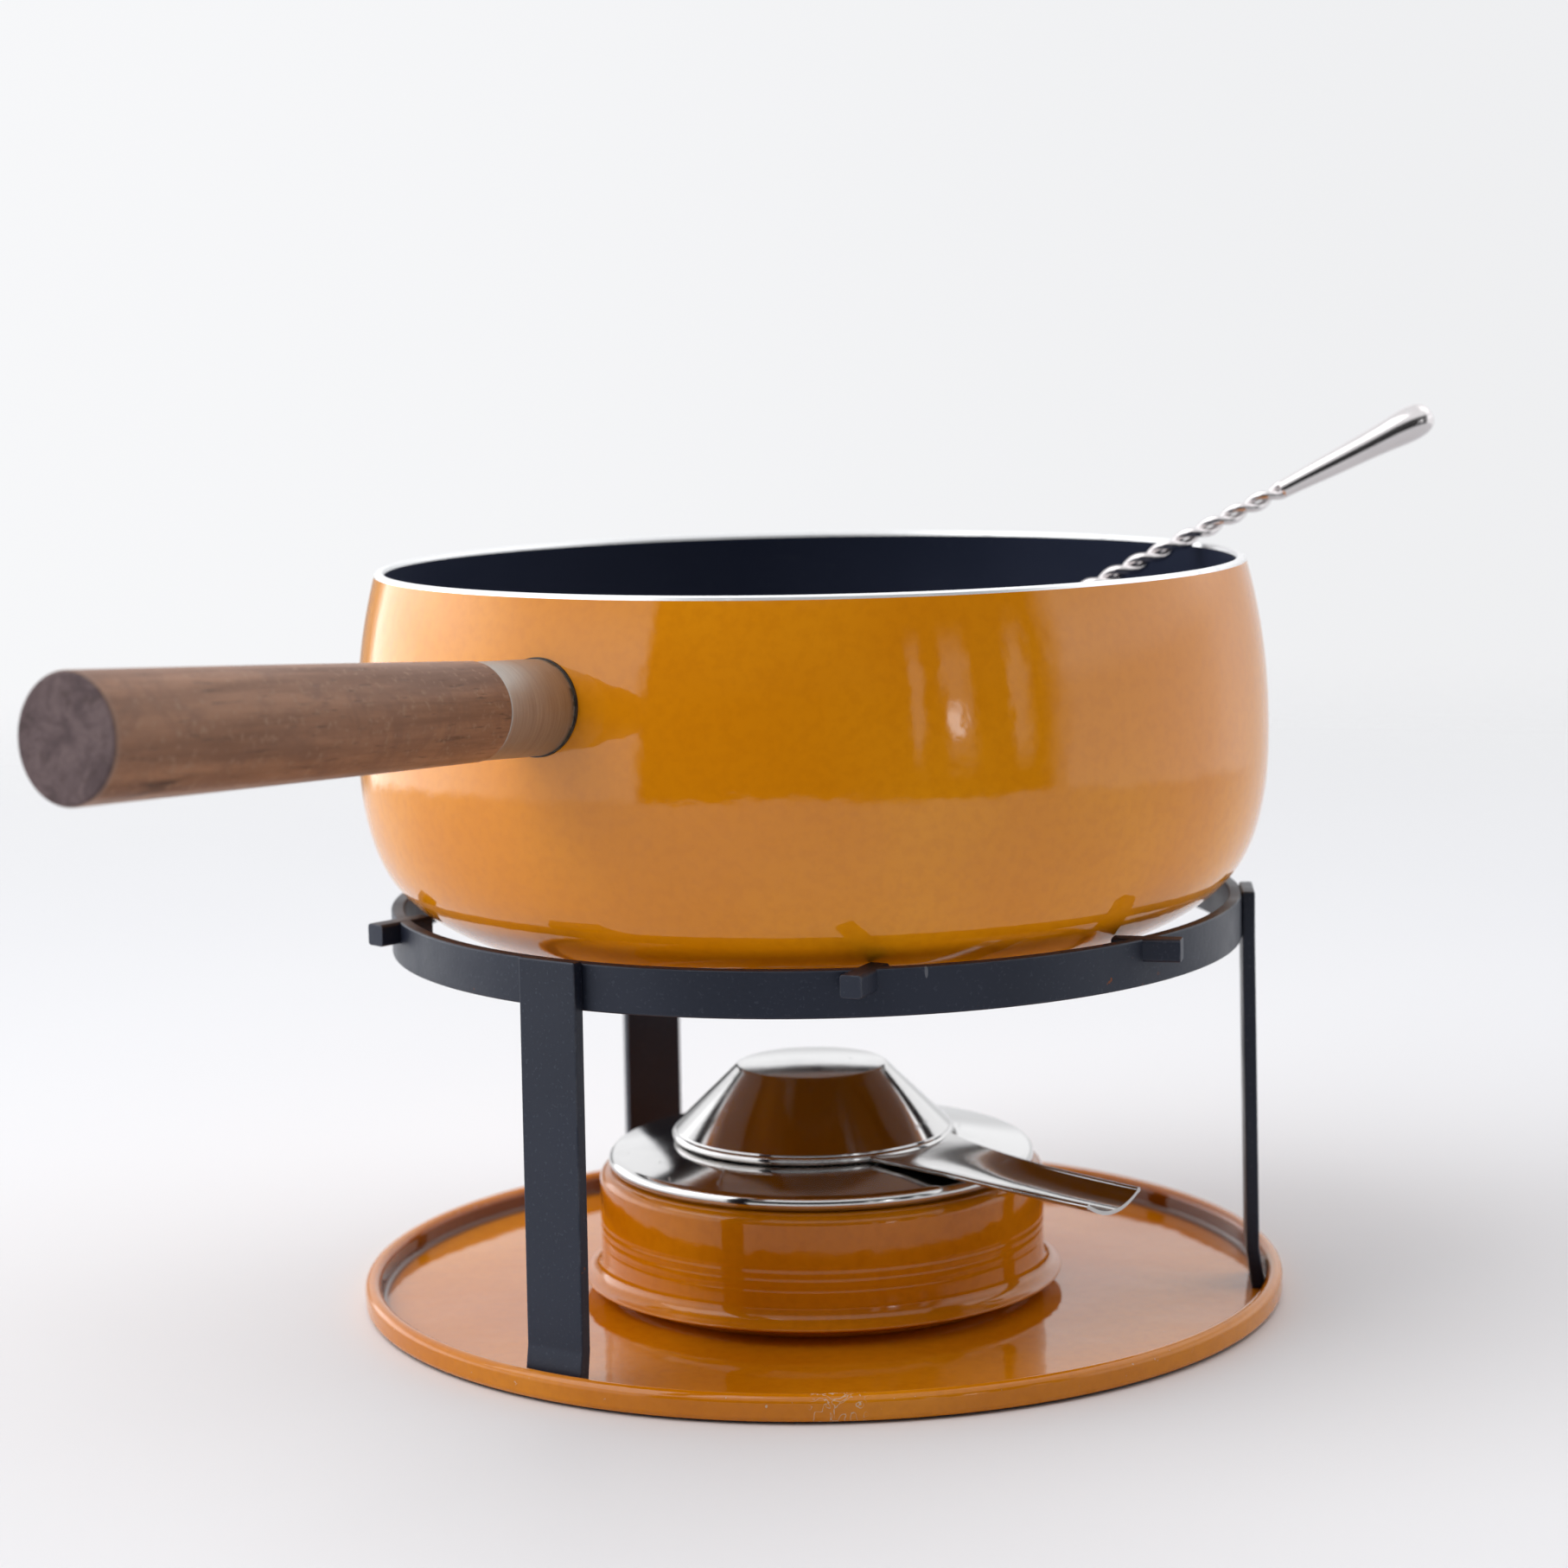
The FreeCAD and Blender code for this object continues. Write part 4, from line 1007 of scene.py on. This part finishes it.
def build_world():
    """White all round, with the dark side of the room behind the camera for the gloss to mirror."""
    world = bpy.data.worlds.new("studio")
    bpy.context.scene.world = world
    world.use_nodes = True
    tree = world.node_tree
    tree.nodes.clear()

    def node(kind, inputs=None, **settings):
        made = tree.nodes.new(kind)
        for key, value in settings.items():
            setattr(made, key, value)
        for key, value in (inputs or {}).items():
            if isinstance(value, bpy.types.NodeSocket):
                tree.links.new(value, made.inputs[key])
            else:
                made.inputs[key].default_value = value
        return made

    def math_of(operation, a, b=0.0):
        return node("ShaderNodeMath", {0: a, 1: b}, operation=operation).outputs[0]

    def step(value, start, end, low_value=0.0, high_value=1.0):
        inputs = {"Value": value, "From Min": start, "From Max": end,
                  "To Min": low_value, "To Max": high_value}
        return node("ShaderNodeMapRange", inputs, interpolation_type="SMOOTHSTEP").outputs["Result"]

    def between(value, rise_from, rise_to, fall_from, fall_to):
        return math_of("MULTIPLY", step(value, rise_from, rise_to), step(value, fall_to, fall_from))

    def add(level, patch, strength):
        return math_of("ADD", level, math_of("MULTIPLY", patch, strength))

    def shade(level, patch, strength):
        return math_of("MULTIPLY", level, math_of("SUBTRACT", 1.0, math_of("MULTIPLY", patch, strength)))

    # Patches of the room, by azimuth in radians and by the sine of the elevation
    way = node("ShaderNodeSeparateXYZ", {0: node("ShaderNodeTexCoord").outputs["Generated"]}).outputs
    azimuth = math_of("ARCTAN2", way[0], math_of("MULTIPLY", way[1], -1.0))
    rise = way[2]
    low_band = step(rise, 0.45, 0.22)
    left = math_of("MULTIPLY", between(azimuth, -2.60, -2.50, -1.90, -1.20), low_band)
    near_left = math_of("MULTIPLY", between(azimuth, -1.95, -1.25, -0.78, -0.68), low_band)
    right = math_of("MULTIPLY", between(azimuth, 0.98, 1.20, 2.10, 2.60), low_band)
    front = between(azimuth, -0.76, -0.70, 0.98, 1.16)
    room = math_of("MULTIPLY", front, between(rise, -0.60, -0.50, 0.42, 0.60))
    far_left = math_of("MULTIPLY", between(azimuth, -2.96, -2.90, -2.66, -2.58), step(rise, 0.16, 0.08))
    panes = math_of("ADD", between(azimuth, 0.41, 0.44, 0.46, 0.50), between(azimuth, 0.55, 0.59, 0.64, 0.70))
    panes = math_of("ADD", panes, between(azimuth, 0.84, 0.88, 0.90, 0.98))
    panes = math_of("MULTIPLY", panes, between(rise, -0.12, 0.00, 0.20, 0.36))
    lamp = math_of("MULTIPLY", between(azimuth, 0.56, 0.59, 0.62, 0.65),
                   between(rise, -0.04, -0.01, 0.05, 0.09))

    mirrored = add(0.85, step(rise, 0.08, 0.18), 0.40)
    mirrored = add(mirrored, left, 2.0)
    mirrored = add(mirrored, near_left, 0.6)
    mirrored = add(mirrored, right, 0.5)
    mirrored = shade(mirrored, far_left, 0.55)
    mirrored = shade(mirrored, room, 0.95)
    mirrored = add(mirrored, panes, 0.9)
    mirrored = add(mirrored, lamp, 5.0)
    spread = add(1.0, left, 0.45)
    spread = shade(spread, math_of("MULTIPLY", front, step(rise, -0.60, -0.50)), 0.88)
    rays = node("ShaderNodeLightPath").outputs
    level = node("ShaderNodeMix", {0: rays["Is Glossy Ray"], 2: spread, 3: mirrored},
                 data_type="FLOAT").outputs[0]
    falloff = step(way[0], -0.25, 0.25, 1.0, 0.925)
    seen = node("ShaderNodeBackground", {"Color": (0.93, 0.935, 0.95, 1), "Strength": falloff})
    lit = node("ShaderNodeBackground", {"Color": (0.97, 0.98, 1.0, 1), "Strength": level})
    both = node("ShaderNodeMixShader", {0: rays["Is Camera Ray"], 1: lit.outputs[0], 2: seen.outputs[0]})
    node("ShaderNodeOutputWorld", {"Surface": both.outputs[0]})


def build_floor():
    """A pale table that fades into the backdrop away from the object."""
    look = Look("floor_look")
    away = look.length(look.place)
    tone = look.mix(look.noise(3.0, 2.0), (0.78, 0.78, 0.80), (0.82, 0.82, 0.835))
    look.finish(Base_Color=tone, Roughness=0.6, Specular_IOR_Level=0.25)
    clear = look.node("ShaderNodeBsdfTransparent").outputs[0]
    mirrored = look.node("ShaderNodeLightPath").outputs["Is Glossy Ray"]
    fade = look.blend(mirrored, look.ramp(away, 0.45, 1.5), look.ramp(away, 0.76, 0.90))
    mixed = look.node("ShaderNodeMixShader", {0: fade, 1: look.shader.outputs[0], 2: clear})
    output = next(n for n in look.tree.nodes if n.type == "OUTPUT_MATERIAL")
    look.tree.links.new(mixed.outputs[0], output.inputs["Surface"])
    corners = [Vector((x, y, 0)) * FLOOR_HALF * MM for x, y in ((-1, -1), (1, -1), (1, 1), (-1, 1))]
    mesh = bpy.data.meshes.new("floor")
    mesh.from_pydata(corners, [], [(0, 1, 2, 3)])
    mesh.materials.append(look.material)
    floor = bpy.data.objects.new("floor", mesh)
    bpy.context.scene.collection.objects.link(floor)
    floor.location.z = (low("tray_pan") - FLOOR_GAP) * MM


# ---------------------------------------------------------------- scene

def dress(node, look):
    """Give a CAD node that is shown as it is a look."""
    mesh = frame["nodes"][node].data
    mesh.materials.clear()
    mesh.materials.append(look)


# The holder takes the darker enamel tones (painted shade); the pot takes the lighter ones (painted light),
# with painted shade on its underside.
orange = enamel("holder_enamel_look", SHADED_BASE_ENAMEL, BASE_IOR)
pot_orange = enamel("pot_enamel_look", LIT_POT_ENAMEL, POT_IOR, shaded_below=low("pot_shell"))
black = black_paint()
spun = polished_steel("spun_steel_look")
pressed = polished_steel("pressed_steel_look", tint=(0.55, 0.54, 0.53), rough=0.12, around=False)
cast = polished_steel("cast_steel_look", tint=(0.62, 0.59, 0.59), rough=0.11, around=False)
machined = machined_steel()

build_tray(tray_look())
build_stand(black)
build_pot(pot_orange, bare_rim(), non_stick())
build_handle(ferrule_steel(), walnut(GRIP_END))
build_fork(cast)
build_burner(orange, spun)
build_snuffer(spun, pressed)
for node in ("handle_boss", "handle_stud", "grip_insert", "fuel_cup"):
    dress(node, machined)
dress("handle_gasket", dark_seal())
dress("burner_gauze", wire_gauze())
dress("fuel_wadding", wadding_look())

build_floor()
build_world()
build_camera()
area_light("key", (-900, -300, 1300), 1.4, 13)
area_light("fill", (900, 300, 1300), 1.2, 3)
bpy.context.scene.view_settings.view_transform = "Standard"
